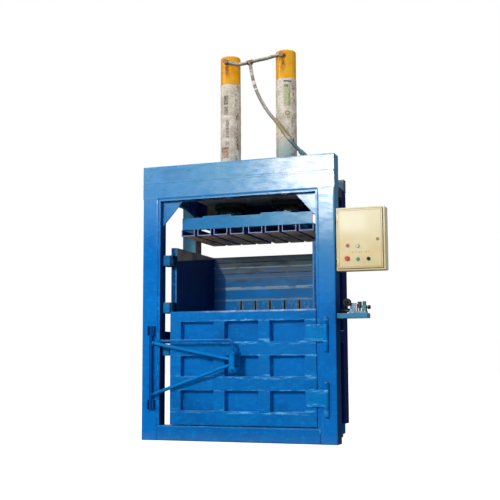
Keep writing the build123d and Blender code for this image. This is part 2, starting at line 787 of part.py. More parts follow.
def make_control_box():
    """Steel cabinet on the right post: body, hinged door, lock, buttons and the device plate."""
    body = block(box_left, box_right, box_front, box_back, box_bottom, box_top)
    upright = body.edges().filter_by(Axis.Y)
    body = fillet(upright, 4)
    body -= block(box_left + box_wall, box_right - box_wall, box_front + box_wall,
                  box_back - box_wall, box_bottom + box_wall, box_top - box_wall)
    body -= block(box_left + box_rim, box_right - box_rim, box_front - 1, box_front + 10,
                  box_bottom + box_rim, box_top - box_rim)
    door_x0 = (box_left + box_right - box_door_w) / 2
    door_x1 = door_x0 + box_door_w
    door_z0 = (box_bottom + box_top - box_door_h) / 2
    door_z1 = door_z0 + box_door_h
    front = box_front - box_gap - box_door_t
    back = box_front - box_gap
    hinge_x = door_x0 - box_eye_d / 2 - 1
    hinge_y = front + box_eye_d / 2
    for z in (door_z0 + 60, door_z1 - 60):
        lug_low = Pos(hinge_x, hinge_y, z - box_eye_h / 2 - 10) * Cylinder(box_eye_d / 2, 20)
        arm = block(hinge_x - box_eye_d / 2, hinge_x, hinge_y, box_front, z - box_eye_h / 2 - 20,
                    z - box_eye_h / 2)
        pin_low = z - box_eye_h / 2 - 20
        pin = Pos(hinge_x, hinge_y, (pin_low + z + box_eye_h / 2) / 2) * Cylinder(
            box_pin_d / 2, z + box_eye_h / 2 - pin_low)
        body += lug_low + arm + pin
    for z in (box_bottom + 60, box_top - 100):
        body += block(half_portal, box_left, 40, 110, z, z + 40)
    keep("control_box", body)

    door = block(door_x0, door_x1, front, back, door_z0, door_z1)
    door = fillet(door.edges().filter_by(Axis.Y), 3)
    door -= block(door_x0 + box_door_wall, door_x1 - box_door_wall, front + box_door_wall,
                  back + 1, door_z0 + box_door_wall, door_z1 - box_door_wall)
    for z in (door_z0 + 60, door_z1 - 60):
        eye = Pos(hinge_x, hinge_y, z) * Cylinder(box_eye_d / 2, box_eye_h - 0.6)
        door += eye + block(hinge_x, door_x0 + 3, front, front + box_door_wall,
                            z - box_eye_h / 2 + 0.3, z + box_eye_h / 2 - 0.3)
        door -= Pos(hinge_x, hinge_y, z) * Cylinder(box_pin_d / 2 + box_pin_fit, box_eye_h)
    for x, z in button_xz:
        door -= Pos(x, front, z) * (Rot(90, 0, 0) * Cylinder(button_hole_d / 2, 20))
    lock_x, lock_z = lock_xz
    door -= Pos(lock_x, front, lock_z) * (Rot(90, 0, 0) * Cylinder(lock_d / 2, 20))
    keep("control_box_door", door)

    inset = device_plate_inset
    plate_back = box_back - box_wall - device_post_h
    plate_front = plate_back - device_plate_t
    plate = block(box_left + inset, box_right - inset, plate_front, plate_back,
                  box_bottom + inset, box_top - inset)
    corner_in = inset + device_post_inset
    for x in (box_left + corner_in, box_right - corner_in):
        for z in (box_bottom + corner_in, box_top - corner_in):
            plate += Pos(x, plate_back + device_post_h / 2, z) * (
                Rot(90, 0, 0) * Cylinder(device_post_d / 2, device_post_h))
    relay_low = box_bottom + relay_z
    for i in range(3):
        x = box_left + relay_left + i * relay_pitch
        plate += block(x, x + relay_w, plate_front - relay_d, plate_front, relay_low,
                       relay_low + relay_h)
    terminal_low = box_bottom + terminal_z
    plate += block(box_left + terminal_inset, box_right - terminal_inset,
                   plate_front - terminal_d, plate_front, terminal_low,
                   terminal_low + terminal_h)
    keep("device_plate", plate)

    names = ("button_red", "button_white", "stop_button", "button_green", "selector_knob")
    for (x, z), name in zip(button_xz, names):
        ring_part = Pos(x, front - bezel_t, z) * (Rot(-90, 0, 0) * (
            Cylinder(bezel_d / 2, bezel_t, align=(Align.CENTER, Align.CENTER, Align.MIN))
            + Cylinder(button_hole_d / 2 - 0.3, bezel_t + 20,
                       align=(Align.CENTER, Align.CENTER, Align.MIN))))
        well = Pos(x, front - bezel_t, z) * (Rot(-90, 0, 0) * Cylinder(
            stem_d / 2 + stem_fit, 2 * box_d))
        keep("button_bezels", ring_part - well)
        keep(name, button_shape(name, x, z, front - bezel_t))
    barrel = Pos(lock_x, front - 3, lock_z) * (Rot(-90, 0, 0) * (
        Cylinder(lock_d / 2 + 3, 3, align=(Align.CENTER, Align.CENTER, Align.MIN))
        + Cylinder(lock_d / 2 - 0.1, 30, align=(Align.CENTER, Align.CENTER, Align.MIN))))
    barrel -= block(lock_x - 1.2, lock_x + 1.2, front - 4, front + 1, lock_z - 6, lock_z + 6)
    cam = block(lock_x - 8, lock_x + 24, front + 24, front + 27, lock_z - 8, lock_z + 8)
    keep("box_lock", barrel + cam)


def button_shape(name, x, z, face):
    """One actuator, its stem in the bezel and its head in front of it."""
    stem = Cylinder(stem_d / 2, stem_len, align=(Align.CENTER, Align.CENTER, Align.MIN))
    gap = button_travel + 1
    if name == "stop_button":
        head = Pos(0, 0, -gap - 10) * Cylinder(
            mushroom_d / 2, 10, align=(Align.CENTER, Align.CENTER, Align.MIN))
        rim = head.edges().filter_by(GeomType.CIRCLE).sort_by(Axis.Z)[0]
        shape = fillet(rim, 5) + Pos(0, 0, -gap) * stem
    elif name == "selector_knob":
        grip = Pos(0, 0, -0.5 - 6) * Cylinder(
            13, 6, align=(Align.CENTER, Align.CENTER, Align.MIN))
        wing = Pos(0, 0, -0.5 - 6 - 5) * Box(8, 26, 12)
        shape = grip + wing + Pos(0, 0, -1) * stem
    else:
        head = Pos(0, 0, -gap - 3) * Cylinder(
            11, 3, align=(Align.CENTER, Align.CENTER, Align.MIN))
        rim = head.edges().filter_by(GeomType.CIRCLE).sort_by(Axis.Z)[0]
        shape = fillet(rim, 1.5) + Pos(0, 0, -gap) * stem
    return Pos(x, face, z) * (Rot(-90, 0, 0) * shape)


def make_valve_shelf():
    """Folded shelf on the right post with the valve block, gauge, coils and adjusting knob."""
    x0 = shelf_left
    x1 = shelf_left + shelf_w
    shelf = block(x0, x1, shelf_front, box_back, shelf_top - shelf_h, shelf_top)
    shelf -= block(x0 + shelf_t, x1 - shelf_t, shelf_front + shelf_t, box_back - shelf_t,
                   shelf_top - shelf_h - 1, shelf_top - shelf_t)
    keep("valve_shelf", shelf)
    z = shelf_top
    y0 = valve_y - valve_half_d
    y1 = valve_y + valve_half_d
    body = block(manifold_x[0], manifold_x[1], y0, y1, z, z + manifold_h)
    body += block(valve_x[0], valve_x[1], y0, y1, z + manifold_h, z + valve_h)
    keep("valve_block", fillet(body.edges().filter_by(Axis.Y).sort_by(Axis.Z)[-2:], 3))
    spacer = block(valve_x[1], valve_x[1] + 12, y0 + 8, y1 - 8, z + manifold_h, z + valve_h - 8)
    keep("valve_coil", spacer)
    stem = Pos(coil_x, valve_y, z + manifold_h) * Cylinder(
        8, 26, align=(Align.CENTER, Align.CENTER, Align.MIN))
    coil = Pos(coil_x, valve_y, z + manifold_h + 26) * Cylinder(
        coil_d / 2, coil_h, align=(Align.CENTER, Align.CENTER, Align.MIN))
    keep("valve_coil", stem + chamfer(coil.edges().filter_by(GeomType.CIRCLE), 2))
    relief = block(relief_x[0], relief_x[1], y0 + 4, y1 - 4, z + manifold_h, z + 62)
    relief += Pos((relief_x[0] + relief_x[1]) / 2, valve_y, z + 62) * Cylinder(
        14, valve_h - 50, align=(Align.CENTER, Align.CENTER, Align.MIN))
    relief += Pos(relief_x[1], valve_y, z + knob_rise) * (Rot(0, 90, 0) * Cylinder(
        7, 11, align=(Align.CENTER, Align.CENTER, Align.MIN)))
    keep("relief_valve", relief)
    knob_x = relief_x[1] + 11
    knob = Pos(knob_x, valve_y, z + knob_rise) * (Rot(0, 90, 0) * Cylinder(
        knob_d / 2, knob_w, align=(Align.CENTER, Align.CENTER, Align.MIN)))
    knob = chamfer(knob.edges().filter_by(GeomType.CIRCLE), 2)
    for i in range(12):
        angle = 2 * math.pi * i / 12
        across = valve_y + knob_d / 2 * math.cos(angle)
        up = z + knob_rise + knob_d / 2 * math.sin(angle)
        notch = Rot(math.degrees(angle), 0, 0) * Box(3 * knob_w, 2.4, 2.4)
        knob -= Pos(knob_x, across, up) * notch
    keep("relief_knob", knob)
    case = Pos(gauge_x, gauge_y, z + gauge_rise) * (Rot(90, 0, 0) * Cylinder(
        gauge_d / 2, 28))
    case = chamfer(case.edges().filter_by(GeomType.CIRCLE), 2)
    case -= Pos(gauge_x, gauge_y - 14, z + gauge_rise) * (Rot(90, 0, 0) * Cylinder(
        gauge_d / 2 - 5, 6))
    stem = bent_bar([(gauge_x, gauge_y, z + gauge_rise - 20), (gauge_x, gauge_y, z + 32),
                     (gauge_x, gauge_y + 34, z + 32), (valve_x[0], gauge_y + 34, z + 32)], 8, 12)
    keep("pressure_gauge", case + stem)


def tee_point(reach_x, reach_z):
    """A point of the tee, turned with its tilt."""
    angle = math.radians(tee_tilt)
    dx = reach_x * math.cos(angle) - reach_z * math.sin(angle)
    dz = reach_x * math.sin(angle) + reach_z * math.cos(angle)
    return (tee_x + dx, tee_y, tee_z + dz)


def cord_radii(points):
    """Largest tangent arc at each corner that its two runs allow."""
    radii = []
    for i in range(1, len(points) - 1):
        before = Vector(*points[i]) - Vector(*points[i - 1])
        after = Vector(*points[i + 1]) - Vector(*points[i])
        shorter = min(before.length, after.length)
        half_turn = math.radians(before.get_angle(after)) / 2
        radii.append(0.45 * shorter / math.tan(half_turn))
    return radii


def make_hose(name, points):
    """One hose: straight runs with tangent arcs; its radii and volume are printed."""
    radii = cord_radii(points)
    path = FilletPolyline(*points, radius=radii)
    hose = sweep(Plane(origin=points[0], z_dir=path % 0) * Circle(hose_d / 2), path=path)
    wanted = math.pi * hose_d ** 2 / 4 * path.length
    print(name, "length", round(path.length), "radii", [round(r) for r in radii],
          "volume ratio", round(hose.volume / wanted, 4))
    keep(name, hose)


def step_from(start, toward, distance):
    """The point at a distance from a start point on the way to another point."""
    heading = (Vector(*toward) - Vector(*start)).normalized()
    return tuple(Vector(*start) + heading * distance)


def make_hoses():
    """Hose between the two caps through a tee, its branch, the fittings and the valve's pipe."""
    left_port = (-cylinder_x, tee_y, port_heights[0])
    right_port = (cylinder_x, tee_y, port_heights[1])
    left = [(tee_x + hose_left_step[0], tee_y, tee_z + hose_left_step[1])]
    left.insert(0, step_from(left_port, left[0], elbow_reach))
    left += [tee_point(-tee_reach - tee_run, 0), tee_point(-tee_reach, 0)]
    right = [tee_point(tee_reach, 0), tee_point(tee_reach + tee_run, 0)]
    right += [(tee_x + x, tee_y, tee_z + z) for x, z in hose_right_steps]
    right.append(step_from(right_port, right[-1], elbow_reach))
    down = [tee_point(0, -tee_reach), tee_point(0, -tee_reach - tee_drop)]
    down += [(tee_x + x, tee_y + y, tee_z + z) for x, y, z in hose_branch_steps]
    make_hose("hose_left", left)
    make_hose("hose_right", right)
    make_hose("hose_branch", down)

    bar = rod_between(tee_point(-tee_reach, 0), tee_point(tee_reach, 0), tee_d)
    leg = rod_between(tee_point(0, 0), tee_point(0, -tee_reach), tee_d)
    keep("hose_tee", bar + leg)

    boss_front = cylinder_y - cylinder_od / 2 - 6
    for port, end in ((left_port, left[0]), (right_port, right[-1])):
        nut = Pos(port[0], boss_front, port[2]) * (Rot(90, 0, 0) * Cylinder(
            elbow_d / 2, boss_front - tee_y + elbow_d / 2,
            align=(Align.CENTER, Align.CENTER, Align.MIN)))
        keep("hose_fittings", nut + rod_between(port, end, ferrule_d))
    ferrule_end = step_from(down[-1], down[-2], -ferrule_len)
    keep("hose_fittings", rod_between(down[-1], ferrule_end, ferrule_d))

    knee = step_from(down[-1], down[-2], -ferrule_len - riser_bend)
    half = riser_block_w / 2
    low, high = riser_block_z
    riser = bent_bar([ferrule_end, knee, (knee[0], knee[1], high)], riser_bend, riser_d)
    keep("hose_riser", riser)
    keep("pipe_mounts", block(knee[0] - half, knee[0] + half, tube_size, knee[1] + half,
                              low, high))
    mid = (low + high) / 2
    run_z = shelf_top + 24
    joint_x = (valve_x[0] + valve_x[1]) / 2
    route = [(knee[0] + half, knee[1], mid), (pipe_x, knee[1], mid), (pipe_x, pipe_y, mid),
             (pipe_x, pipe_y, run_z), (joint_x, pipe_y, run_z),
             (joint_x, valve_y + valve_half_d, run_z)]
    keep("valve_pipe", bent_bar(route, 24, pipe_d))
    for z in clamp_heights:
        clamp = block(pipe_x - 24, pipe_x + 24, tube_size, pipe_y + pipe_d / 2 + 6, z, z + 24)
        keep("pipe_mounts", clamp - Pos(pipe_x, pipe_y, z) * Cylinder(pipe_d / 2 + 0.3, 100))


make_portal()
make_base()
make_chamber()
make_ties()
make_head()
make_cylinders()
make_ram()
make_door()
make_hinges()
make_latch()
make_control_box()
make_valve_shelf()
make_hoses()

os.makedirs("parts", exist_ok=True)
for node_name, solids in nodes.items():
    flat = [solid for shape in solids for solid in shape.solids()]
    shape = flat[0] if len(flat) == 1 else Compound(children=flat)
    export_step(shape, "parts/" + node_name + ".step")
print(len(nodes), "nodes written")
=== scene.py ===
# %% [markdown]
# # Dressing a vertical recycling baler
#
# The baler is a welded portal press. Two upright cylinders push a ram plate down into an open
# chamber, and a ribbed door below the loading mouth swings aside so that the bale can come out.
# The rigid steelwork is already exact in the imported model, so this lesson leaves every plate
# where it is. It adds what a steel shop and years of work add: enamel, weld beads, paper packing
# on the cylinders, woven hoses, a gauge dial, grime and rubbed edges. It also paints some light
# and shade into the finishes.

# %% Load the frame
import math
import random

import bmesh
import bpy
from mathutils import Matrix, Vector


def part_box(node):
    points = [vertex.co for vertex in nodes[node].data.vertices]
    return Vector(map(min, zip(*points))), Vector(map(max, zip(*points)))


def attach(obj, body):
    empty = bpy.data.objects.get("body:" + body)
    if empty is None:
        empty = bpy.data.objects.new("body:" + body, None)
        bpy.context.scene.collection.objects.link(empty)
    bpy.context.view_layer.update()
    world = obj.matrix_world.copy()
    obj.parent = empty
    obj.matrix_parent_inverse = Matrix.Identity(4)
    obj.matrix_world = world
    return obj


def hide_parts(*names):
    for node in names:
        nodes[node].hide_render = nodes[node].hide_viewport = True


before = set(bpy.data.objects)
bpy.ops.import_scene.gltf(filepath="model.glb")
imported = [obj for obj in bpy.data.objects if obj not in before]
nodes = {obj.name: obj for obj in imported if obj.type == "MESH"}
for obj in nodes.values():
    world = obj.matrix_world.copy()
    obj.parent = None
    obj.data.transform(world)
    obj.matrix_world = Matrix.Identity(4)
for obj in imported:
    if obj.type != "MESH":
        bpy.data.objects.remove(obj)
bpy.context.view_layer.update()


def add_object(name, data):
    """Put an object with this data into the scene."""
    obj = bpy.data.objects.new(name, data)
    bpy.context.scene.collection.objects.link(obj)
    return obj


# %% [markdown]
# ## The camera
#
# The photographer stood to the right of the machine, seven metres away, and held the camera low.
# A low camera makes the head beams rise towards the left. The angles were worked out from the
# straight edges of the portal, so the lens has no shift, and other views can reuse it.

# %% Camera
camera = add_object("camera", bpy.data.cameras.new("camera"))
camera.data.sensor_width = 36
camera.data.lens = 67.05
camera.location = (2.6099, -7.0319, 0.6539)
camera.rotation_euler = [math.radians(angle) for angle in (96.695, 0.239, 19.487)]
bpy.context.scene.camera = camera
print("camera", round(camera.location.length, 2), "m from the origin")

# %% [markdown]
# ## Three hoses on one smooth line each
#
# A hydraulic hose is stiff. It leaves each fitting straight and then bends in one long curve, so
# a NURBS curve of order three suits it better than bent straight runs. The control points are
# the points of the route in the steelwork's source, in metres. The weave of its sleeve is added
# later, by its finish.

# %% The hose routes
hose_diameter = 0.030
hose_y = 0.468
tee_centre = Vector((-0.033, hose_y, 3.252))
tee_tilt = math.radians(8)
tee_reach = 0.024
straight = tee_reach + 0.06


def tee_point(reach_x, reach_z=0):
    """A point of the tilted tee in the middle of the top hose."""
    turned = Vector((reach_x * math.cos(tee_tilt) - reach_z * math.sin(tee_tilt), 0, reach_x
                     * math.sin(tee_tilt) + reach_z * math.cos(tee_tilt)))
    return tee_centre + turned


hose_routes = {
    "hose_left": [(-0.2386, hose_y, 3.2734), (-0.1776, hose_y, 3.249),
                  tee_point(-straight), tee_point(-tee_reach)],
    "hose_right": [tee_point(tee_reach), tee_point(straight), (0.117, hose_y, 3.2675),
                   (0.176, hose_y, 3.2805), (0.2372, hose_y, 3.2875)],
    "hose_branch": [tee_point(0, -tee_reach), tee_point(0, -tee_reach - 0.09),
                    (0.013, 0.467, 3.022), (0.061, 0.461, 2.908), (0.136, 0.452, 2.783),
                    (0.216, 0.44, 2.688), (0.287, 0.422, 2.581), (0.353, 0.388, 2.502),
                    (0.421, 0.343, 2.426), (0.468, 0.31, 2.378)],
}


# %% A smooth hose
def smooth_curve(name, points):
    """A curve object on one NURBS spline with the given control points."""
    data = bpy.data.curves.new(name, "CURVE")
    data.dimensions = "3D"
    data.resolution_u = 12
    spline = data.splines.new("NURBS")
    spline.points.add(len(points) - 1)
    for point, place in zip(spline.points, points):
        point.co = (*place, 1)
    spline.order_u = 3
    spline.use_endpoint_u = True
    return add_object(name, data)


def curve_line(obj):
    """The points along a curve that has no thickness yet, and its length."""
    mesh = bpy.data.meshes.new_from_object(obj)
    line = [vertex.co.copy() for vertex in mesh.vertices]
    bpy.data.meshes.remove(mesh)
    return line, sum((b - a).length for a, b in zip(line, line[1:]))


hoses = {}
hose_lines = {}
for name, route in hose_routes.items():
    hose = smooth_curve(name + "_woven", route)
    hose_lines[name], hose_length = curve_line(hose)
    hose.data.bevel_depth = 1.0
    for point in hose.data.splines[0].points:
        point.radius = hose_diameter / 2
    hose.data.bevel_resolution = 6
    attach(hose, "frame")
    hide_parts(name)
    hoses[name] = hose
    print(name, round(hose_length, 3), "m")

# %% [markdown]
# ## Writing materials as arithmetic
#
# A node tree is only a sum written with boxes. The small class below wraps one socket and gives
# it Python's operators, so that `1 - mask * 0.4` adds the Math nodes by itself. Everything that
# isn't arithmetic comes from one method, which takes the type of a node, its settings and its
# inputs.


# %% One socket with operators
def math_node(operation):
    """A method that adds a Math node, whose first value is the socket itself."""
    return lambda *values: values[0].maker.node("Math", {"operation": operation},
                                                dict(enumerate(values)))


class Socket:
    """An output socket that can be added, multiplied and compared like a number."""

    def __init__(self, maker, socket):
        self.maker = maker
        self.socket = socket

    def __rsub__(self, other):
        return self.maker.node("Math", {"operation": "SUBTRACT"}, {0: other, 1: self})

    def fade(self, start, end, low=0.0, high=1.0):
        """The low number at the start value and the high one at the end value, smoothly."""
        return self.maker.node("MapRange", {"interpolation_type": "SMOOTHSTEP"},
                               {"Value": self, "From Min": start, "From Max": end,
                                "To Min": low, "To Max": high})

    def between(self, low, high, soft=0.002):
        """1 between two values of a coordinate, with soft edges."""
        return self.fade(low - soft, low + soft) * self.fade(high + soft, high - soft)

    __add__ = __radd__ = math_node("ADD")
    __mul__ = __rmul__ = math_node("MULTIPLY")
    __sub__ = math_node("SUBTRACT")
    __pow__ = math_node("POWER")
    __abs__ = math_node("ABSOLUTE")
    above = math_node("GREATER_THAN")
    larger = math_node("MAXIMUM")
    sine = math_node("SINE")
    bearing = math_node("ARCTAN2")
    to_and_fro = math_node("PINGPONG")


# %% A maker of nodes
class NodeMaker:
    """Builds up the node tree of a material or of the world."""

    def __init__(self, owner):
        owner.use_nodes = True
        self.tree = owner.node_tree
        self.tree.nodes.clear()

    def node(self, kind, settings=None, inputs=None, out=0):
        """Add a node, set it up, join its inputs, and hand back one of its outputs."""
        made = self.tree.nodes.new("ShaderNode" + kind)
        for key, value in (settings or {}).items():
            setattr(made, key, value)
        for key, value in (inputs or {}).items():
            if isinstance(value, Socket):
                self.tree.links.new(value.socket, made.inputs[key])
            else:
                made.inputs[key].default_value = value
        return Socket(self, made.outputs[out]) if made.outputs else None

    def axes(self, vector):
        """The three numbers of a place, in metres, or of a direction."""
        return [self.node("SeparateXYZ", None, {0: vector}, axis) for axis in "XYZ"]


# %% A finish under construction
finishes = {}


class Finish(NodeMaker):
    """A node material, built up from its texture coordinate to its shader."""

    def __init__(self, name):
        self.name = name
        self.material = bpy.data.materials.new(name)
        super().__init__(self.material)
        self.place = self.node("TexCoord", out="Object")
        self.across, self.depth, self.height = self.axes(self.place)
        self.right, self.fore, self.up = self.axes(self.node("TexCoord", out="Normal"))

    def stretched(self, amounts):
        """The place with its axes multiplied, which stretches what is drawn on it."""
        return self.node("VectorMath", {"operation": "MULTIPLY"},
                         {0: self.place, 1: amounts}) if amounts else self.place

    def noise(self, scale, detail=3, roughness=0.55, stretch=None):
        """Cloudy noise from 0 to 1, at a scale in waves per metre."""
        return self.node("TexNoise", None,
                         {"Vector": self.stretched(stretch), "Scale": scale, "Detail": detail,
                          "Roughness": roughness})

    def patches(self, scale, start, end, detail=3, roughness=0.55, stretch=None):
        """Noise faded between two of its levels, which leaves separate patches."""
        return self.noise(scale, detail, roughness, stretch).fade(start, end)

    def cells(self, scale, stretch, feature="F1"):
        """Distance to the nearest of scattered points, or to the edge between two."""
        return self.node("TexVoronoi", {"feature": feature},
                         {"Vector": self.stretched(stretch), "Scale": scale}, "Distance")

    def mix(self, first, second, factor):
        """One colour turning into another where the factor rises."""
        ends = [value if isinstance(value, Socket) else (*value, 1) for value in (first, second)]
        return self.node("Mix", {"data_type": "RGBA", "clamp_factor": True},
                         {0: factor, 6: ends[0], 7: ends[1]}, 2)

    def lay(self, tone, mask):
        """Lay a tone over the colour so far, where the mask rises."""
        self.colour = self.mix(self.colour, tone, mask)

    def bump(self, height, strength, distance, normal=None):
        """A surface direction tilted by a height in the given distance."""
        inputs = {"Height": height, "Strength": strength, "Distance": distance}
        if normal is not None:
            inputs["Normal"] = normal
        return self.node("Bump", None, inputs)

    def chips(self, radius, *patches):
        """Patches that lie only along the sharp edges of the mesh, within the radius."""
        rounded = self.node("Bevel", {"samples": 3}, {"Radius": radius})
        plain = self.node("NewGeometry", out="Normal")
        agree = self.node("VectorMath", {"operation": "DOT_PRODUCT"}, {0: rounded, 1: plain},
                          "Value")
        return agree.fade(0.995, 0.86) * self.patches(*patches)

    def finish(self, **sockets):
        """Close the material with a Principled shader, and keep it under its name."""
        values = {name.replace("_", " ").title().replace("Ior", "IOR"): value
                  for name, value in sockets.items()}
        shader = self.node("BsdfPrincipled", None, {"Base Color": self.colour, **values})
        self.node("OutputMaterial", None, {"Surface": shader})
        finishes[self.name] = self.material


print("the finish maker is ready")

# %% [markdown]
# ## Blue machine enamel
#
# The steelwork was sprayed in one coat of blue gloss. Sprayed enamel is never even: it is deeper
# where two passes met, dusty on every ledge, and rubbed to grey steel on the corners. Each of
# these is one mask here, laid over the last. Over them lie masks of painted light: the enamel
# pales high up as a painted reflection, and can carry a painted glare, a painted highlight and
# painted shade.

# %% Enamel on the frame
deep_blue = (0.0, 0.17, 0.58)
sky_blue = (0.085, 0.30, 0.45)
dust_colour = (0.36, 0.43, 0.46)
bare_steel = (0.30, 0.29, 0.28)


def enamel(name, base=deep_blue, pale=sky_blue, reflection_heights=(1.1, 2.3), dusty=0.5, rubbed=0.6, welds=(),
           top_edge=None, painted_shade_tone=None, sheen=1.0, shaded_end=None, side_shade_and_glare=False):
    """Sprayed blue enamel, paler high up as a painted reflection, dusty on ledges, rubbed on
    edges.
    """
    f = Finish(name)
    cloud = f.noise(1.7, 4)
    # Paler high up and towards the right: a painted reflection of a bright sky, mixed with random
    # tone.
    reflection_level = f.height + f.across * 0.36
    f.colour = f.mix(base, pale, reflection_level.fade(*reflection_heights) * 0.8 + (cloud - 0.5) * 0.3)
    f.lay((0.0, 0.27, 0.66), f.patches(34, 0.52, 0.85, stretch=(1, 1, 0.4)) * 0.35)
    f.lay((0.0, 0.07, 0.27), cloud.fade(0.5, 0.28) * 0.5)
    tint = f.noise(15, 4, 0.65, (1, 1, 2.2))
    f.lay((0.0, 0.27, 0.76), tint.fade(0.5, 0.68) * 0.45)
    f.lay((0.0, 0.1, 0.4), tint.fade(0.46, 0.3) * 0.4)
    run = f.patches(26, 0.6, 0.72, stretch=(1, 1, 0.1)) * cloud.fade(0.42, 0.62)
    f.lay((0.02, 0.3, 0.62), run * 0.35)
    scratch = f.patches(60, 0.7, 0.8, 2, stretch=(1, 1, 9)) * cloud.fade(0.5, 0.7)
    scuff = f.patches(150, 0.7, 0.78, 4) * f.patches(4, 0.55, 0.7, 2)
    f.lay((0.25, 0.5, 0.66), (scratch * 0.45).larger(scuff * 0.5))
    wave = (f.noise(21, 4, 0.7) - 0.5) * 0.035
    thin_coat = f.patches(15, 0.46, 0.62, 5, 0.75, (0.45, 1, 2.5))
    for weld_height, reach in welds:
        band = abs(f.height + wave - weld_height).fade(reach, reach * 0.3)
        f.lay((0.12, 0.52, 0.92), band * thin_coat * (0.3 + f.across.fade(-0.35, 0.15) * 0.65))
    if top_edge:
        # A painted highlight along the top edge of the door.
        edge_highlight = f.height.fade(top_edge - 0.018, top_edge - 0.004)
        f.lay((0.66, 0.78, 0.8), edge_highlight * (0.25 + thin_coat * 0.6) * f.across.fade(-0.45, 0.1))
    ledge = f.up.fade(0.45, 0.9) * (0.35 + f.noise(18))
    if side_shade_and_glare:
        # Painted shade on the faces turned to +X, deeper lower down.
        side = f.right.fade(0.6, 0.9) * f.across.fade(0.8, 0.82) * f.height.fade(1.9, 0.9)
        f.lay((0.008, 0.012, 0.05), side * 0.85)
        f.lay((0.02, 0.05, 0.12), side * f.height.fade(1.0, 0.1) * (0.35 + thin_coat * 0.4))
        # A painted glare: a painted reflection on front faces at the top right, broken into
        # patches.
        glare = ((f.across + (cloud - 0.5) * 0.3).fade(0.1, 0.62) * reflection_level.fade(2.18, 2.34)
                 * f.fore.fade(-0.5, -0.9))
        broken = f.patches(16, 0.4, 0.58, 5, 0.75, (0.45, 1, 1.8))
        f.lay((0.8, 0.83, 0.82), glare * (0.3 + broken * 0.5))
    # Painted shade towards one end of the part.
    if shaded_end:
        f.lay(painted_shade_tone, f.across.fade(*shaded_end) * 0.85)
    # Painted shade on undersides and on faces turned to +X.
    if painted_shade_tone:
        f.lay(painted_shade_tone, (f.up.fade(-0.5, -0.9) * 0.9).larger(f.right.fade(0.5, 0.9) * 0.88))
    kick = f.height.fade(0.1, 0.0) * f.noise(12, 4)
    f.lay(dust_colour, (ledge * dusty).larger(kick * 0.12))
    spot = f.patches(38, 0.735, 0.765) * f.patches(3, 0.5, 0.62, 2)
    f.lay((0.16, 0.055, 0.02), spot * 0.8)
    chips = f.chips(0.0035, 45, 0.42, 0.62, 4)
    f.lay(bare_steel, chips * rubbed)
    gloss = f.patches(17, 0.38, 0.6, 5, 0.75, (0.6, 1, 1.6))
    normal = f.bump(f.noise(420, 2), 0.08, 0.0005)
    normal = f.bump(f.noise(5, 2), 0.22, 0.004, normal)
    normal = f.bump(run, 0.15, 0.0008, normal)
    f.finish(roughness=0.42 + cloud * 0.18 + ledge * 0.25, metallic=chips * 0.5, normal=normal,
             specular_ior_level=0.04, coat_roughness=0.24,
             coat_weight=(0.05 + f.height.fade(1.45, 2.08) * 0.85 - ledge * 0.3)
             * (0.55 + gloss * 0.62) * sheen)


# %% Twelve enamels
low_down = {"reflection_heights": (2.0, 3.5)}
rail_edges = ((0.796, 0.030), (0.519, 0.028), (0.242, 0.026), (0.961, 0.014),
              (0.684, 0.010), (0.407, 0.008))
leaf_edges = [(height, 0.03) for height in (0.286, 0.418, 0.788, 0.920)]
enamel("blue_enamel", side_shade_and_glare=True)
enamel("door_enamel", base=(0.0, 0.158, 0.5), dusty=0.4, rubbed=0.12, welds=rail_edges,
       top_edge=1.045, **low_down)
enamel("panel_enamel", base=(0.0, 0.185, 0.58), dusty=0.6, rubbed=0.2, **low_down)
enamel("latch_enamel", base=(0.0, 0.2, 0.58), dusty=0.0, rubbed=0.0, painted_shade_tone=(0.0, 0.04, 0.22),
       shaded_end=(-0.690, -0.712), **low_down)
enamel("leaf_enamel", base=(0.0, 0.2, 0.55), rubbed=0.15, welds=leaf_edges, **low_down)
enamel("ram_enamel", base=(0.02, 0.22, 0.5), pale=(0.05, 0.3, 0.52), reflection_heights=(1.7, 1.9), dusty=0.35,
       sheen=0.5)
# The liner, the latch and the ties take painted shade on their hidden faces.
enamel("liner_enamel", painted_shade_tone=(0.0, 0.012, 0.07), rubbed=0.4)
enamel("tie_enamel", base=(0.02, 0.2, 0.46), painted_shade_tone=(0.0, 0.01, 0.06), shaded_end=(-0.618, -0.610))
# Darker copies of the enamel, painted as shade: rear_enamel for parts at the back, dark_enamel for
# the keepers.
enamel("rear_enamel", base=(0.0, 0.05, 0.2), pale=(0.0, 0.1, 0.3), dusty=0.8, rubbed=0.8)
enamel("dark_enamel", base=(0.0, 0.06, 0.24), pale=(0.0, 0.1, 0.3), rubbed=0.4)
enamel("pin_enamel", base=(0.0, 0.12, 0.42), rubbed=0.0, **low_down)
enamel("shelf_enamel", base=(0.04, 0.24, 0.4), pale=(0.1, 0.34, 0.48), reflection_heights=(0.9, 1.1), dusty=0.3)
print(len(finishes), "enamels")


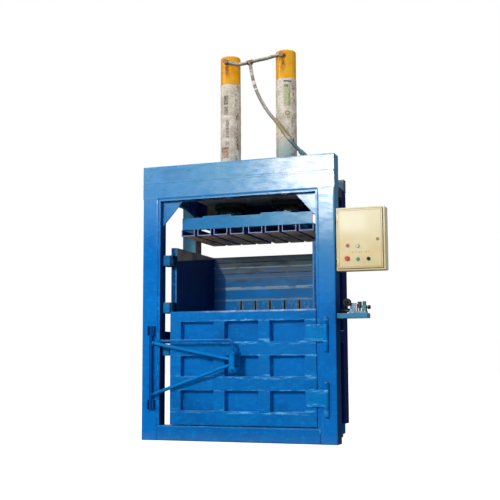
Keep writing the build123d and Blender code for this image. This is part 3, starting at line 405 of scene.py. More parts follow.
# %% Columns behind
def column_paint():
    """Navy columns painted as deep shade; the left front is painted lit below a painted shadow
    edge, the girder ends are painted lit, and the left one is brown on the side of the chamber.
    """
    f = Finish("column_enamel")
    cloud = f.noise(5, 4)
    left = f.across.fade(0.1, -0.1)
    # The near-black navy base is painted shade.
    f.colour = f.mix((0.004, 0.005, 0.06), (0.0, 0.016, 0.11), cloud)
    # The lit side of a painted diagonal shadow edge on the left column's front.
    below = (f.height + f.across * 0.96).fade(1.335, 1.31)
    front = f.fore.fade(-0.6, -0.9)
    f.lay((0.12, 0.36, 0.52), front * left * f.height.fade(1.4, 1.55) * below
          * (0.6 + cloud * 0.4))
    inner = f.right.fade(0.6, 0.9) * left * f.height.fade(1.4, 1.55) * f.height.fade(1.95, 1.9)
    stain = f.patches(18, 0.4, 0.62, 4, 0.7, (1, 1, 0.4))
    f.lay((0.2, 0.16, 0.12), inner * 0.9)
    f.lay((0.36, 0.33, 0.28), inner * stain * 0.7)
    # Pale front ends of the girders, painted as lit.
    lit_girder_end = front * f.across.fade(0.6, 0.65)
    f.lay((0.42, 0.6, 0.7), lit_girder_end * f.height.fade(2.03, 2.07) * (0.6 + stain * 0.4))
    brown = front * f.across.between(-0.545, -0.45, 0.012)
    f.lay((0.26, 0.2, 0.11), brown * f.height.fade(1.9, 1.95) * (0.5 + stain * 0.5))
    chips = f.chips(0.0035, 45, 0.42, 0.62, 4)
    f.lay(bare_steel, chips * 0.6)
    f.finish(roughness=0.5 + cloud * 0.2, specular_ior_level=0.1,
             normal=f.bump(f.noise(90), 0.15, 0.001))


column_paint()

# %% [markdown]
# ## Plates that the waste rubs
#
# The walls, the floor and the ram's planks meet the bale at every stroke. The upper part of the
# chamber has lost its gloss and gone grey brown, and the lower part is still blue. Horizontal
# streaks run where loose bales were dragged out. The planks' sawn ends show pale primer.


# %% Worn chamber plate
def worn_plate(name, wear_from, wear_to, base=(0.0, 0.15, 0.44), drag=(0.35, 0.35, 7),
               seams=(), slots_and_shadow=False, front=None):
    """Blue plate that turns to rubbed grey steel between two heights."""
    f = Finish(name)
    streak = f.noise(6, 5, 0.65, drag)
    patch = f.noise(5, 4)
    worn = (f.height + (streak - 0.5) * 0.3 + (patch - 0.5) * 0.12).fade(wear_from, wear_to)
    bright = tuple(channel * 1.5 for channel in base)
    f.colour = f.mix(base, bright, patch.fade(0.45, 0.75) * 0.6)
    f.lay((0.135, 0.17, 0.172), worn * 0.9)
    rust = f.patches(14, 0.45, 0.68, 5, 0.7, (1, 1, 2.5))
    f.lay((0.155, 0.148, 0.115), worn * rust * 0.85)
    f.lay((0.01, 0.022, 0.035), f.patches(3, 0.5, 0.3, stretch=(1, 1, 3)) * (0.15 + worn * 0.6))
    line = f.patches(11, 0.6, 0.74, 3, 0.6, (0.12, 0.12, 9))
    f.lay((0.24, 0.34, 0.37), line * (0.12 + worn * 0.5))
    left_over = f.patches(9, 0.34, 0.54, 5, 0.7, (0.8, 1, 3))
    for seam_height, reach, tone in seams:
        band = f.height.between(seam_height - reach, seam_height + reach * 1.2, 0.003)
        f.lay(tone, band * left_over * 0.75)
    if front:
        wedge = (f.height - f.depth * 0.12 + (streak - 0.5) * 0.01).fade(1.458, 1.468)
        f.lay((0.33, 0.305, 0.265), wedge * f.right.fade(0.6, 0.9)
              * (0.6 + patch.fade(0.4, 0.6) * 0.4))
        # Front faces take a paler tone, painted as lit.
        f.lay(front, f.fore.fade(-0.6, -0.9) * (0.6 + patch * 0.4))
    if slots_and_shadow:
        # A painted shadow of the left wall, with a slanting edge, on the back wall's left end.
        slant = f.across + (f.height - 1.574) * 0.55 + (patch - 0.5) * 0.03
        wall_shadow = slant.fade(-0.564, -0.584) * f.across.fade(-0.474, -0.49)
        f.lay((0.0, 0.04, 0.18), wall_shadow * 0.85)
        aside = (f.across + 0.33).to_and_fro(0.07)
        rubbed = (aside.fade(0.017, 0.011) * f.across.between(-0.36, 0.4)
                  * f.height.between(0.25, 1.19))
        f.lay((0.3, 0.22, 0.09), rubbed * 0.75)
        f.lay((0.36, 0.46, 0.44), rubbed * patch.fade(0.5, 0.6) * 0.5)
        scraped = (f.patches(24, 0.52, 0.62, 5, 0.8, (1.4, 1, 0.7))
                   * f.height.between(1.02, 1.18, 0.03) * f.across.between(-0.42, 0.34, 0.06))
        f.lay((0.22, 0.46, 0.58), scraped * 0.65)
    ledge = f.up.fade(0.45, 0.9) * (0.4 + f.noise(20))
    f.lay((0.22, 0.2, 0.16), ledge * 0.6)
    chips = f.chips(0.003, 40, 0.35, 0.6, 4)
    f.lay((0.32, 0.42, 0.47), chips * 0.6)
    normal = f.bump(f.noise(160), 0.12, 0.001)
    normal = f.bump(f.noise(4, 3, stretch=(1, 1, 3)), 0.3, 0.006, normal)
    f.finish(roughness=0.45 + worn * 0.15 + patch * 0.12, metallic=chips * 0.4, normal=normal,
             specular_ior_level=0.05, coat_weight=0.12 - worn * 0.1, coat_roughness=0.3)


pale_seam = (0.46, 0.58, 0.60)
worn_plate("back_plate", 1.24, 1.56, base=(0.0, 0.19, 0.56), slots_and_shadow=True, seams=(
    (1.545, 0.005, (0.02, 0.03, 0.03)), (1.495, 0.005, pale_seam),
    (1.442, 0.005, (0.02, 0.03, 0.04)), (1.398, 0.006, (0.20, 0.26, 0.28)),
    (1.303, 0.012, pale_seam), (1.196, 0.008, (0.30, 0.44, 0.52))))
# The side plate's dark navy base is painted shade, and its front faces are painted lit.
worn_plate("side_plate", 1.62, 1.72, base=(0.0, 0.02, 0.13), front=(0.04, 0.26, 0.5))
worn_plate("floor_plate", 0.05, 0.4, drag=(3, 0.4, 1))


# %% Planks of the ram
def plank_paint():
    """Blue channels with a greasy brown underside and pale sawn ends."""
    f = Finish("ram_planks_finish")
    drag = f.noise(9, 5, 0.65, (3, 0.5, 1))
    under = f.up.fade(-0.4, -0.9)
    f.colour = f.mix((0.0, 0.05, 0.19), (0.0, 0.1, 0.32), f.noise(5))
    f.lay((0.62, 0.4, 0.23), under * (0.85 + drag * 0.15))
    f.lay((0.85, 0.68, 0.48), under * drag.fade(0.48, 0.66) * 0.7)
    f.lay((0.07, 0.05, 0.035), under * drag.fade(0.46, 0.36) * 0.8)
    sawn_end = f.depth.fade(0.262, 0.256) * abs(f.fore).fade(0.6, 0.9)
    f.lay((0.32, 0.33, 0.55), sawn_end * 0.85)
    f.finish(roughness=0.4 + drag * 0.25, normal=f.bump(f.noise(140), 0.2, 0.001),
             specular_ior_level=0.2)


plank_paint()
print("four worn finishes")

# %% [markdown]
# ## Oiled, chromed and machined metal
#
# The rods are hard chrome under a film of oil, the glands and bolts are black, and the pipe is
# painted over its drawn surface. A metal's look comes mostly from its roughness, so each of
# these varies it at two scales, one broad and one fine.


# %% Plain metals
def metal(name, colour, second, rough, metallic=1.0, grain=(1, 1, 1), scale=60, bump=0.08,
          high=None):
    """Bare or coated metal with a grain in its colour and roughness."""
    f = Finish(name)
    broad = f.noise(7)
    fine = f.noise(scale, 4, stretch=grain)
    f.colour = f.mix(colour, second, (broad * 0.5 + fine * 0.5).fade(0.38, 0.66))
    if high:
        f.lay(high, f.height.fade(2.8, 2.9))
    f.lay((0.45, 0.44, 0.42), f.chips(0.002, 60, 0.4, 0.6) * 0.4)
    f.finish(roughness=rough + (fine - 0.5) * 0.18 + broad * 0.08, metallic=metallic,
             normal=f.bump(fine, bump, 0.0006))


metal("chromed_rod", (0.7, 0.71, 0.73), (0.56, 0.55, 0.52), 0.3, grain=(1, 1, 6))
metal("black_steel", (0.035, 0.035, 0.04), (0.09, 0.08, 0.07), 0.42, 0.7)
metal("pin_steel", (0.03, 0.16, 0.38), (0.12, 0.14, 0.17), 0.34, 0.5)
metal("zinc_plate", (0.55, 0.56, 0.56), (0.42, 0.43, 0.44), 0.34, grain=(1, 1, 8))
metal("dark_ring", (0.13, 0.12, 0.1), (0.26, 0.24, 0.2), 0.45, 0.3)
metal("dark_bronze", (0.085, 0.055, 0.035), (0.22, 0.15, 0.08), 0.4, 0.8)
metal("guide_rust", (0.3, 0.22, 0.11), (0.16, 0.11, 0.07), 0.6, 0.1)
metal("crimp_steel", (0.0, 0.05, 0.08), (0.02, 0.11, 0.14), 0.42, 0.2, high=(0.22, 0.12, 0.07))
metal("pipe_paint", (0.05, 0.16, 0.24), (0.1, 0.24, 0.33), 0.36, 0.15)
metal("oily_pipe", (0.0, 0.006, 0.02), (0.01, 0.04, 0.06), 0.42, 0.1)
metal("teal_casting", (0.0, 0.07, 0.09), (0.05, 0.24, 0.28), 0.38, 0.1, scale=120, bump=0.25)
metal("pale_block", (0.03, 0.13, 0.22), (0.4, 0.55, 0.72), 0.36, 0.1, scale=110)
print("twelve metals")

# %% [markdown]
# ## Orange cylinder paint and the underside of the carrier
#
# The cylinders came from another shop in orange yellow gloss. Oil seeps at the hose ports and
# leaves a brown tongue below them. The carrier plate is seen from below, in the dark, where oil
# mist has turned its blue to olive.

# %% Orange enamel
cylinder_x = 0.260
cylinder_y = 0.590


def orange_paint():
    """Glossy orange paint with oil below the ports."""
    f = Finish("orange_enamel")
    cloud = f.noise(6, 4)
    f.colour = f.mix((0.8, 0.33, 0.004), (0.9, 0.47, 0.015), cloud.fade(0.35, 0.7))
    beside = abs(abs(f.across + (f.noise(9) - 0.5) * 0.05) - cylinder_x)
    tongue = beside.fade(0.034, 0.004) * f.height.between(3.17, 3.27, 0.05)
    f.lay((0.15, 0.03, 0.008), tongue * f.depth.fade(0.56, 0.5)
          * (0.45 + f.patches(40, 0.4, 0.6) * 0.5))
    f.lay((0.1, 0.3, 0.38), f.height.fade(2.45, 2.1) * 0.92)
    f.lay((0.018, 0.018, 0.02), f.height.fade(2.12, 2.09) * 0.95)
    f.lay((0.35, 0.22, 0.07), f.patches(30, 0.6, 0.75, 4) * 0.25)
    f.finish(roughness=0.26 + cloud * 0.15, normal=f.bump(f.noise(300, 2), 0.08, 0.0005),
             specular_ior_level=0.12, coat_weight=0.12, coat_roughness=0.1)


# %% Olive underside
def carrier_paint():
    """Blue plate browned by oil mist from below."""
    f = Finish("carrier_enamel")
    cloud = f.noise(4, 5, 0.65)
    f.colour = f.mix((0.02, 0.15, 0.36), (0.05, 0.24, 0.48), cloud)
    stain = f.up.fade(-0.2, -0.8) * (0.55 + cloud.fade(0.35, 0.6) * 0.45)
    f.lay((0.24, 0.2, 0.12), stain)
    f.lay((0.62, 0.54, 0.38), f.patches(22, 0.55, 0.7, 4) * stain * 0.7)
    f.lay((0.03, 0.025, 0.02), f.patches(7, 0.44, 0.36, 4) * stain * 0.8)
    f.finish(roughness=0.42 + cloud * 0.2, normal=f.bump(f.noise(90), 0.15, 0.001))


orange_paint()
carrier_paint()
print("orange and olive")

# %% [markdown]
# ## Cabinet enamel, plastics and the small print
#
# The cabinet is cream powder coat with a fine grain. Its print is left as plain red dashes
# between the two rows of buttons. The plastics are moulded, so their gloss is even and only
# handling marks disturb it.


# %% Cream powder coat
def cream_coat():
    """Cream powder coat with a fine orange peel, paler towards the top and darker towards the
    bottom.
    """
    f = Finish("cream_coat")
    outside = f.fore.fade(-0.5, -0.9)
    cloud = f.noise(5)
    f.colour = f.mix((0.72, 0.58, 0.29), (0.8, 0.69, 0.39), cloud.fade(0.3, 0.7))
    f.lay((0.92, 0.84, 0.6), f.height.fade(1.5, 1.78) * 0.6)
    f.lay((0.5, 0.37, 0.12), f.height.fade(1.47, 1.33) * 0.35)

    def door_shape(inset):
        return (f.across.between(0.853 + inset, 1.204 - inset, 0.0008)
                * f.height.between(1.353 + inset, 1.815 - inset, 0.0008))

    def frame_line(inset, width):
        return door_shape(inset) - door_shape(inset + width)

    door_face = f.depth.fade(0.012, 0.009)
    f.lay((0.28, 0.22, 0.1), frame_line(0.007, 0.005) * door_face * outside * 0.6)
    f.lay((0.16, 0.12, 0.05), frame_line(-0.006, 0.006) * f.depth.fade(0.02, 0.0215) * 0.85)
    f.lay((0.22, 0.17, 0.08), f.depth.between(0.0085, 0.0208, 0.0005) * 0.7)
    # A painted glare, a painted reflection on the upper left of the door.
    painted_glare = f.across.between(0.87, 1.08, 0.05) * f.height.between(1.64, 1.79, 0.04)
    f.lay((1.0, 0.94, 0.72), painted_glare * 0.55)
    # The face turned to +X is painted paler, as if lit from that side.
    f.lay((0.98, 0.92, 0.7), f.right.fade(0.6, 0.9) * 0.8)
    f.lay((0.5, 0.44, 0.33), f.patches(50, 0.66, 0.76, stretch=(1, 1, 3)) * 0.3)
    dash = (f.across * 340).sine().above(-0.2) * f.across.between(0.945, 1.1)
    row = f.height.between(1.47, 1.484, 0.001) * door_face * outside
    f.lay((0.56, 0.2, 0.1), dash * row * f.patches(70, 0.42, 0.56, 3, 0.7) * 0.75)
    chips = f.chips(0.002, 45, 0.45, 0.6)
    f.lay((0.3, 0.26, 0.2), chips * 0.5)
    f.finish(roughness=0.34 + cloud * 0.1, specular_ior_level=0.25,
             normal=f.bump(f.noise(520, 2), 0.18, 0.0005))


# %% Moulded plastics
def plastic(name, colour, rough=0.3):
    """Moulded plastic with handling marks."""
    f = Finish(name)
    mark = f.noise(90, 4)
    darker = tuple(channel * 0.6 for channel in colour)
    f.colour = f.mix(colour, darker, mark.fade(0.5, 0.75) * 0.6)
    f.finish(roughness=rough + mark * 0.15, specular_ior_level=0.2,
             normal=f.bump(f.noise(400, 2), 0.08, 0.0004))


def coil_plastic():
    """Black coil beside a white spacer, told apart by where they lie."""
    f = Finish("coil_plastic")
    mark = f.noise(90, 4)
    f.colour = f.mix((0.62, 0.64, 0.62), (0.02, 0.02, 0.024), f.across.fade(0.9825, 0.9835))
    f.lay((0.1, 0.1, 0.1), mark.fade(0.55, 0.75) * 0.3)
    f.finish(roughness=0.35 + mark * 0.2, normal=f.bump(f.noise(300, 2), 0.1, 0.0004))


cream_coat()
plastic("red_plastic", (0.62, 0.03, 0.02))
plastic("white_plastic", (0.6, 0.7, 0.58))
plastic("green_plastic", (0.05, 0.3, 0.12))
plastic("worn_brass", (0.28, 0.23, 0.1), 0.25)
plastic("black_plastic", (0.01, 0.01, 0.012), 0.4)
coil_plastic()
print("cabinet and plastics,", len(finishes), "finishes so far")

# %% [markdown]
# ## Handing out the finishes
#
# Each rigid node has one material slot. Replacing what is in that slot changes the finish and
# leaves the mesh untouched. Nodes that the table doesn't name wear the frame's blue enamel.

# %% Finish of every node
wearers_of = {
    "back_plate": "chamber_wall_back", "side_plate": "chamber_side_walls",
    "floor_plate": "floor_planks", "ram_planks_finish": "ram_planks",
    "ram_enamel": "ram_frame rod_plates", "chromed_rod": "ram_rods",
    "carrier_enamel": "carrier_plate", "orange_enamel": "cylinder_tubes cylinder_caps",
    "black_steel": "cylinder_glands flange_bolts", "pin_steel": "hinge_pins",
    "cream_coat": "control_box control_box_door", "zinc_plate": "device_plate",
    "dark_ring": "button_bezels", "worn_brass": "box_lock",
    "red_plastic": "button_red stop_button", "white_plastic": "button_white",
    "green_plastic": "button_green",
    "black_plastic": "selector_knob relief_knob pressure_gauge",
    "pale_block": "valve_block", "coil_plastic": "valve_coil", "teal_casting": "relief_valve",
    "column_enamel": "rear_girders rear_columns", "rear_enamel": "wall_ribs base_frame",
    "guide_rust": "strap_guides", "shelf_enamel": "valve_shelf",
    "liner_enamel": "opening_liner", "tie_enamel": "portal_ties", "oily_pipe": "valve_pipe",
    "pipe_paint": "hose_riser", "dark_bronze": "hose_tee", "crimp_steel": "hose_fittings",
    "door_enamel": "door_rails door_stiles latch_catch hinge_barrels sill",
    "leaf_enamel": "hinge_leaves", "panel_enamel": "door_panel door_strap_channels",
    "latch_enamel": "latch_arm", "pin_enamel": "latch_pin", "dark_enamel": "latch_keepers",
}
finish_of = {name: finish for finish, names in wearers_of.items() for name in names.split()}
for name, node in nodes.items():
    node.data.materials.clear()
    node.data.materials.append(finishes[finish_of.get(name, "blue_enamel")])
print(len(nodes) - len(finish_of), "nodes keep the frame's blue enamel")

# %% [markdown]
# ## Weld beads
#
# Every joint of the machine is stick welded. A bead is a row of overlapping ripples, so its
# thickness rises and falls every few millimetres and wanders a little. Bump alone would vanish
# in profile, so each bead is a real tube of rings whose radius follows the ripple. All the
# beads of one body make one piece.


# %% Rings, tubes and pieces
def circle(sides, radius=1.0):
    """Points round a circle that lies flat about the origin."""
    angles = [2 * math.pi * k / sides for k in range(sides)]
    return [Vector((math.cos(angle), math.sin(angle), 0)) * radius for angle in angles]


def turned_on(points):
    """The same points of a ring, each replaced by the one after it."""
    return points[1:] + points[:1]


def bridge(mesh, ring, other):
    """Join two rings of points with a band of faces."""
    for corners in zip(ring, turned_on(ring), turned_on(other), other):
        mesh.faces.new(corners)


def close_tube(mesh, rings):
    """Join rings of points, one after another, into a tube with closed ends."""
    for ring, other in zip(rings, rings[1:]):
        bridge(mesh, ring, other)
    mesh.faces.new(rings[0][::-1])
    mesh.faces.new(rings[-1])


def close_piece(mesh, name, finish, body="frame", smooth=True):
    """Turn a mesh that was being built into a piece that rides on a body."""
    data = bpy.data.meshes.new(name)
    mesh.to_mesh(data)
    mesh.free()
    for face in data.polygons:
        face.use_smooth = smooth
    data.materials.append(finishes[finish])
    piece = add_object(name, data)
    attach(piece, body)
    return piece


# %% A rippled bead
bead_step = 0.004
bead_sides = 6
wander = random.Random(7)


def add_bead(mesh, start, end, radius):
    """Add one rippled tube from start to end to a mesh that is being built."""
    start, end = Vector(start), Vector(end)
    heading = end - start
    count = max(3, int(heading.length / bead_step))
    turn = heading.to_track_quat("Z", "Y")
    rings = []
    for i in range(count + 1):
        ripple = 0.86 + 0.14 * math.cos(i * math.pi) + wander.uniform(-0.07, 0.07)
        if i in (0, count):
            ripple = 0.3
        centre = start + heading * (i / count)
        rings.append([mesh.verts.new(centre + turn @ (point * radius * ripple))
                      for point in circle(bead_sides)])
    close_tube(mesh, rings)


def add_ring_bead(mesh, centre, axis, ring_radius, radius, pieces=14):
    """Add a bead round a bar, as short beads end to end."""
    turn = Vector(axis).to_track_quat("Z", "Y")
    corners = [Vector(centre) + turn @ point for point in circle(pieces, ring_radius)]
    for here, there in zip(corners, turned_on(corners)):
        add_bead(mesh, here, there, radius)


def add_flush_weld(mesh, x0, x1, z, reach):
    """Add a ground weld along X: a strip nearly level with the front face of the portal."""
    count = max(2, int((x1 - x0) / 0.01))
    rows = []
    for i in range(count + 1):
        x = x0 + (x1 - x0) * i / count
        edge = wander.uniform(-0.0008, 0.0008)
        profile = ((0.0002, z - reach + edge), (-0.0004, z - reach * 0.4),
                   (-0.0004, z + reach * 0.4), (0.0002, z + reach + edge))
        rows.append([mesh.verts.new((x, depth + wander.uniform(-0.0001, 0.0001), height))
                     for depth, height in profile] + [mesh.verts.new((x, 0.012, z))])
    close_tube(mesh, rows)


# %% The seams of each body
thin = 0.0032
thick = 0.0055
sides = (-1, 1)
seams = {"frame": [], "door": [], "ram": []}


def seam(x, y, z, radius=thin, body="frame"):
    """Note one bead. The axis that it runs along is given as a pair of places."""
    ends = [tuple(place[end] if isinstance(place, tuple) else place for place in (x, y, z))
            for end in (0, 1)]
    seams[body].append((*ends, radius))


for side in sides:
    foot = (side * 0.609, side * 0.739)
    rail_end = (side * 0.681, side * 0.737)
    seam(side * 0.690, 0.001, (0.004, 0.118), thick)
    seam(side * 0.690, 0.009, (0.122, 1.990))
    seam((side * 0.668, side * 0.494), 0.064, 1.977)
    seam(side * 0.672, 0.064, (1.972, 1.774))
    seam(foot, 0.622, 0.120, thick)
    seam(foot, 0.762, 0.120, thick)
    seam(side * 0.739, (0.690, 0.762), 2.090, thick)
    for rail_z in (0.790, 0.890, 2.005, 2.105):
        seam(rail_end, 0.620, rail_z)
        seam(rail_end, 0.142, rail_z)
    for rail_x in (0.118, 0.402):
        seam(side * rail_x, (0.145, 0.685), 2.036)
for half, y, z, radius in ((0.685, 0.009, 1.994, thin), (0.822, 0.135, 2.135, 0.0075),
                           (0.685, 0.009, 0.12, thin), (0.468, 0.142, 2.01, thin),
                           (0.739, 0.762, 2.09, thick)):
    seam((-half, half), y, z, radius)
for rib_z in (0.130, 0.230, 1.200, 1.300, 1.498, 1.596):
    seam((-0.607, 0.607), 1.050, rib_z)
for barrel_z in ((0.213, 0.2857), (0.4183, 0.469), (0.715, 0.7877), (0.9203, 0.971)):
    for pad_x in (0.730, 0.766):
        seam(pad_x, -0.001, barrel_z)
for keeper_z in (0.251, 0.852):
    for edge_x in (-0.763, -0.703):
        seam(edge_x, -0.001, (keeper_z + 0.002, keeper_z + 0.076))
for tie_z in (0.733, 1.084, 1.479):
    seam(-0.671, 0.071, (tie_z - 0.042, tie_z + 0.042))
    for edge in (-0.046, 0.046):
        seam((-0.645, -0.592), 0.175, tie_z + edge)
seam(0.8305, (0.022, 0.138), 1.0055)
seam(0.8305, 0.0195, (0.970, 1.004))

# %% Seams on the door and the ram
stile_lefts = [-0.574, -0.1913, 0.1913, 0.574]
stile_width = 0.094
leaf_height = 0.132
rows = ((0.796, 0.961), (0.519, 0.684), (0.242, 0.407))
for left in stile_lefts:
    for row in rows:
        for z in row:
            seam((left + 0.003, left + stile_width - 0.003), 0.0005, z, 0.0028, body="door")
for left, right in zip(stile_lefts, stile_lefts[1:]):
    left += stile_width
    for low, high in rows:
        for x, z in (((left, right), low), (right, (low, high)),
                     ((right, left), high), (left, (high, low))):
            seam(x, 0.0655, z, 0.004, body="door")
for low in (0.286, 0.788):
    seam(0.589, -0.001, (low + 0.014, low + leaf_height - 0.014), body="door")
    for z in (low, low + leaf_height):
        seam((0.602, 0.664), -0.001, z, body="door")
for y, z in ((-0.001, 0.715), (-0.009, 0.5925), (-0.009, 0.6925)):
    seam((-0.022, 0.038), y, z, body="door")
for side in sides:
    for plate_x in (0.130, 0.390):
        seam(side * plate_x, (0.258, 0.998), 1.860, body="ram")
print({body: len(lines) for body, lines in seams.items()}, "seams")


# %% Paint on the beads
def bead_enamel():
    """Blue enamel that is thin and pale over parts of the beads, with a little rust."""
    f = Finish("bead_enamel")
    fine = f.noise(70)
    f.colour = f.mix((0.0, 0.15, 0.48), (0.08, 0.42, 0.85),
                     (f.noise(9) + (fine - 0.5) * 0.2).fade(0.52, 0.64) * 0.85)
    f.lay((0.2, 0.08, 0.03), f.patches(22, 0.66, 0.74, 4) * 0.5)
    f.finish(roughness=0.4 + fine * 0.3, specular_ior_level=0.12, normal=f.bump(fine, 0.3, 0.0006))


bead_enamel()

# %% Build the beads
beads = {}
for body, lines in seams.items():
    beads[body] = bmesh.new()
    for start, end, radius in lines:
        add_bead(beads[body], start, end, radius)
for side in sides:
    add_ring_bead(beads["ram"], (side * cylinder_x, cylinder_y, 1.872), (0, 0, 1), 0.106, thin, 28)

ground = bmesh.new()
add_flush_weld(ground, -0.823, 0.823, 2.135, 0.0125)
for side in sides:
    add_flush_weld(ground, *sorted((side * 0.692, side * 0.826)), 2.001, 0.0085)
bmesh.ops.recalc_face_normals(ground, faces=ground.faces)

beads["latch_arm"] = bmesh.new()
for root, tip in (((-0.733, -0.0263, 0.366), (-0.006, -0.092, 0.614)),
                  ((-0.733, -0.0263, 0.794), (-0.006, -0.092, 0.655))):
    root, tip = Vector(root), Vector(tip)
    heading = (tip - root).normalized()
    for place in (root + heading * 0.019, tip - heading * 0.018):
        add_ring_bead(beads["latch_arm"], place, heading, 0.0145, thin)

for body, mesh in beads.items():
    piece = close_piece(mesh, "weld_beads_" + body, "bead_enamel", body)
    print("beads on the", body, len(piece.data.polygons), "faces")
close_piece(ground, "flush_welds", "blue_enamel", smooth=False)

# %% [markdown]
# ## Paper packing on the cylinders
#
# The lower part of each cylinder is still wrapped in the printed paper that it was packed in.
# Paper that is pulled round a tube creases along slanting lines, overlaps itself in a step at
# the back, and has a slightly ragged edge at the top. The sleeve is therefore its own mesh, with
# those creases in its radius, and takes the place of the plain sleeve of the steelwork.


# %% Printed paper
def printed_paper():
    """Grey white paper with blocks of generic print and damp stains."""
    f = Finish("printed_paper")
    left = f.across.fade(0.01, -0.01)
    right = 1 - left
    front = f.depth.fade(0.58, 0.56)
    edge = left * (f.across + cylinder_x) + right * (f.across - cylinder_x)
    offset = left * (f.across + 0.241) + right * (f.across - 0.304)
    cloud = f.noise(9, 5, 0.6)
    f.colour = f.mix((0.56, 0.47, 0.35), (0.8, 0.74, 0.62), cloud.fade(0.35, 0.65))
    f.lay((0.42, 0.31, 0.2), f.patches(16, 0.56, 0.7, 5, 0.7) * (0.35 + right * 0.25))
    # Dark patches towards the left and right sides of each sleeve.
    side_dark_patches = f.patches(34, 0.62, 0.72, 5, 0.75, (1, 1, 0.4))
    f.lay((0.1, 0.085, 0.07), side_dark_patches * abs(edge).fade(0.03, 0.07) * 0.9)
    fleck = f.noise(60, 4, 0.75)
    f.lay((0.2, 0.15, 0.11), fleck.fade(0.54, 0.66) * 0.6)
    f.lay((0.98, 0.96, 0.9), fleck.fade(0.46, 0.34) * 0.65)
    damp = (f.height + (f.noise(12) - 0.5) * 0.15).fade(2.58, 2.42)
    f.lay((0.32, 0.5, 0.48), damp * (0.2 + right * 0.4))
    f.lay((0.26, 0.38, 0.36), right * f.height.fade(2.6, 2.38) * 0.75)
    lines = (f.height * 900).sine().fade(0.2, 0.5)
    column = (f.across * 190 + 0.8).sine().fade(-0.7, -0.4)
    f.lay((0.34, 0.32, 0.3), lines * column * f.patches(30, 0.45, 0.5, 2, stretch=(1, 1, 6)) * 0.3)
    ragged = f.patches(70, 0.4, 0.6, 4)
    prints = (
        (left, -0.052, -0.010, 2.900, 2.985, (0.06, 0.035, 0.03), 0.45),
        (left, -0.050, -0.012, 2.808, 2.885, (0.09, 0.055, 0.04), 0.35),
        (left, -0.080, 0.030, 2.790, 2.797, (0.85, 0.83, 0.79), 0.60),
        (left, -0.034, -0.002, 2.600, 2.762, (0.16, 0.14, 0.13), 0.35),
        (left, -0.040, 0.000, 2.530, 2.571, (0.26, 0.22, 0.19), 0.25),
        (left, -0.076, -0.006, 2.417, 2.515, (0.32, 0.12, 0.06), 0.45),
        (left, -0.076, -0.006, 2.500, 2.515, (0.05, 0.03, 0.025), 0.45),
        (right, -0.040, 0.022, 3.050, 3.068, (0.06, 0.055, 0.05), 0.55),
        (right, -0.040, 0.014, 2.835, 3.030, (0.42, 0.47, 0.25), 0.60),
        (right, -0.034, 0.000, 3.005, 3.030, (0.10, 0.12, 0.06), 0.35),
        (right, 0.000, 0.014, 2.840, 3.000, (0.22, 0.22, 0.11), 0.20),
        (right, -0.012, 0.012, 2.733, 2.741, (0.12, 0.10, 0.08), 0.50),
        (right, -0.034, 0.050, 2.384, 2.396, (0.04, 0.03, 0.04), 0.50),
        (right, 0.020, 0.060, 2.400, 2.420, (0.40, 0.06, 0.06), 0.40))
    for side, x0, x1, z0, z1, ink, solid in prints:
        block = side * front * offset.between(x0, x1) * f.height.between(z0, z1, 0.003)
        f.lay(ink, block * (solid + ragged * (1 - solid)))
    ring_x, ring_z = offset + 0.008, f.height - 2.775
    ring_at = (ring_x * ring_x + ring_z * ring_z) ** 0.5
    f.lay((0.26, 0.18, 0.04), ring_at.between(0.011, 0.021, 0.003) * right * front * 0.9)
    # Darker bands along the right edge of each sleeve.
    dark_right_band = edge.fade(0.06, 0.07) * f.depth.between(0.603, 0.64, 0.006) * f.patches(14, 0.46, 0.54)
    f.lay((0.06, 0.05, 0.045), dark_right_band * 0.85)
    dark_right_edge = (f.patches(26, 0.5, 0.58, 5, 0.7, (1, 1, 0.6)) * edge.fade(0.055, 0.08)
            * f.depth.fade(0.57, 0.55))
    f.lay((0.07, 0.06, 0.05), dark_right_edge * 0.85)
    fold = f.cells(9, (1, 1, 0.5), "DISTANCE_TO_EDGE")
    normal = f.bump(fold.fade(0.0, 0.05), 0.25, 0.002)
    f.finish(roughness=0.5 + cloud * 0.2, normal=f.bump(cloud, 0.3, 0.004, normal))


printed_paper()

# %% A creased sleeve
wrap_low, wrap_high = (value.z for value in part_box("cylinder_wraps"))
tube_radius = 0.089
wrap_rings = 150
wrap_sides = 96


def crease(angle, height, seed):
    """How far the paper stands off the tube at one place, in metres."""
    slant = math.sin(angle * 3 + height * 31 + seed) * math.sin(angle * 2 - height * 19 + seed)
    fine = math.sin(angle * 11 + height * 83 + seed * 2) * math.sin(height * 140 - angle * 7)
    return 0.0016 + 0.0009 * slant + 0.0004 * fine


def paper_sleeve(name, centre_x, seed):
    """One wrapped cylinder as a thin closed sleeve."""
    mesh = bmesh.new()
    loose = random.Random(seed)
    rings = []
    for i in range(wrap_rings + 1):
        ring = []
        for k in range(wrap_sides):
            angle = 2 * math.pi * k / wrap_sides
            height = wrap_low + (wrap_high - wrap_low) * (i / wrap_rings)
            if i == wrap_rings:
                height += 0.004 * math.sin(angle * 5 + seed) + loose.uniform(-0.001, 0.001)
            step = 0.0012 if 0.4 < angle - 1.2 + 0.2 * math.sin(height * 9) < 1.0 else 0
            radius = tube_radius + crease(angle, height, seed) + step
            ring.append(mesh.verts.new((centre_x + radius * math.cos(angle),
                                        cylinder_y + radius * math.sin(angle), height)))
        rings.append(ring)
    for lower, upper in zip(rings, rings[1:]):
        bridge(mesh, lower, upper)
    for ring in (rings[0], rings[-1]):
        inner = []
        for vertex in ring:
            axis = Vector((centre_x, cylinder_y, vertex.co.z))
            inner.append(mesh.verts.new(axis + (vertex.co - axis).normalized()
                                        * (tube_radius + 0.0002)))
        bridge(mesh, *((inner, ring) if ring is rings[0] else (ring, inner)))
    return close_piece(mesh, name, "printed_paper")


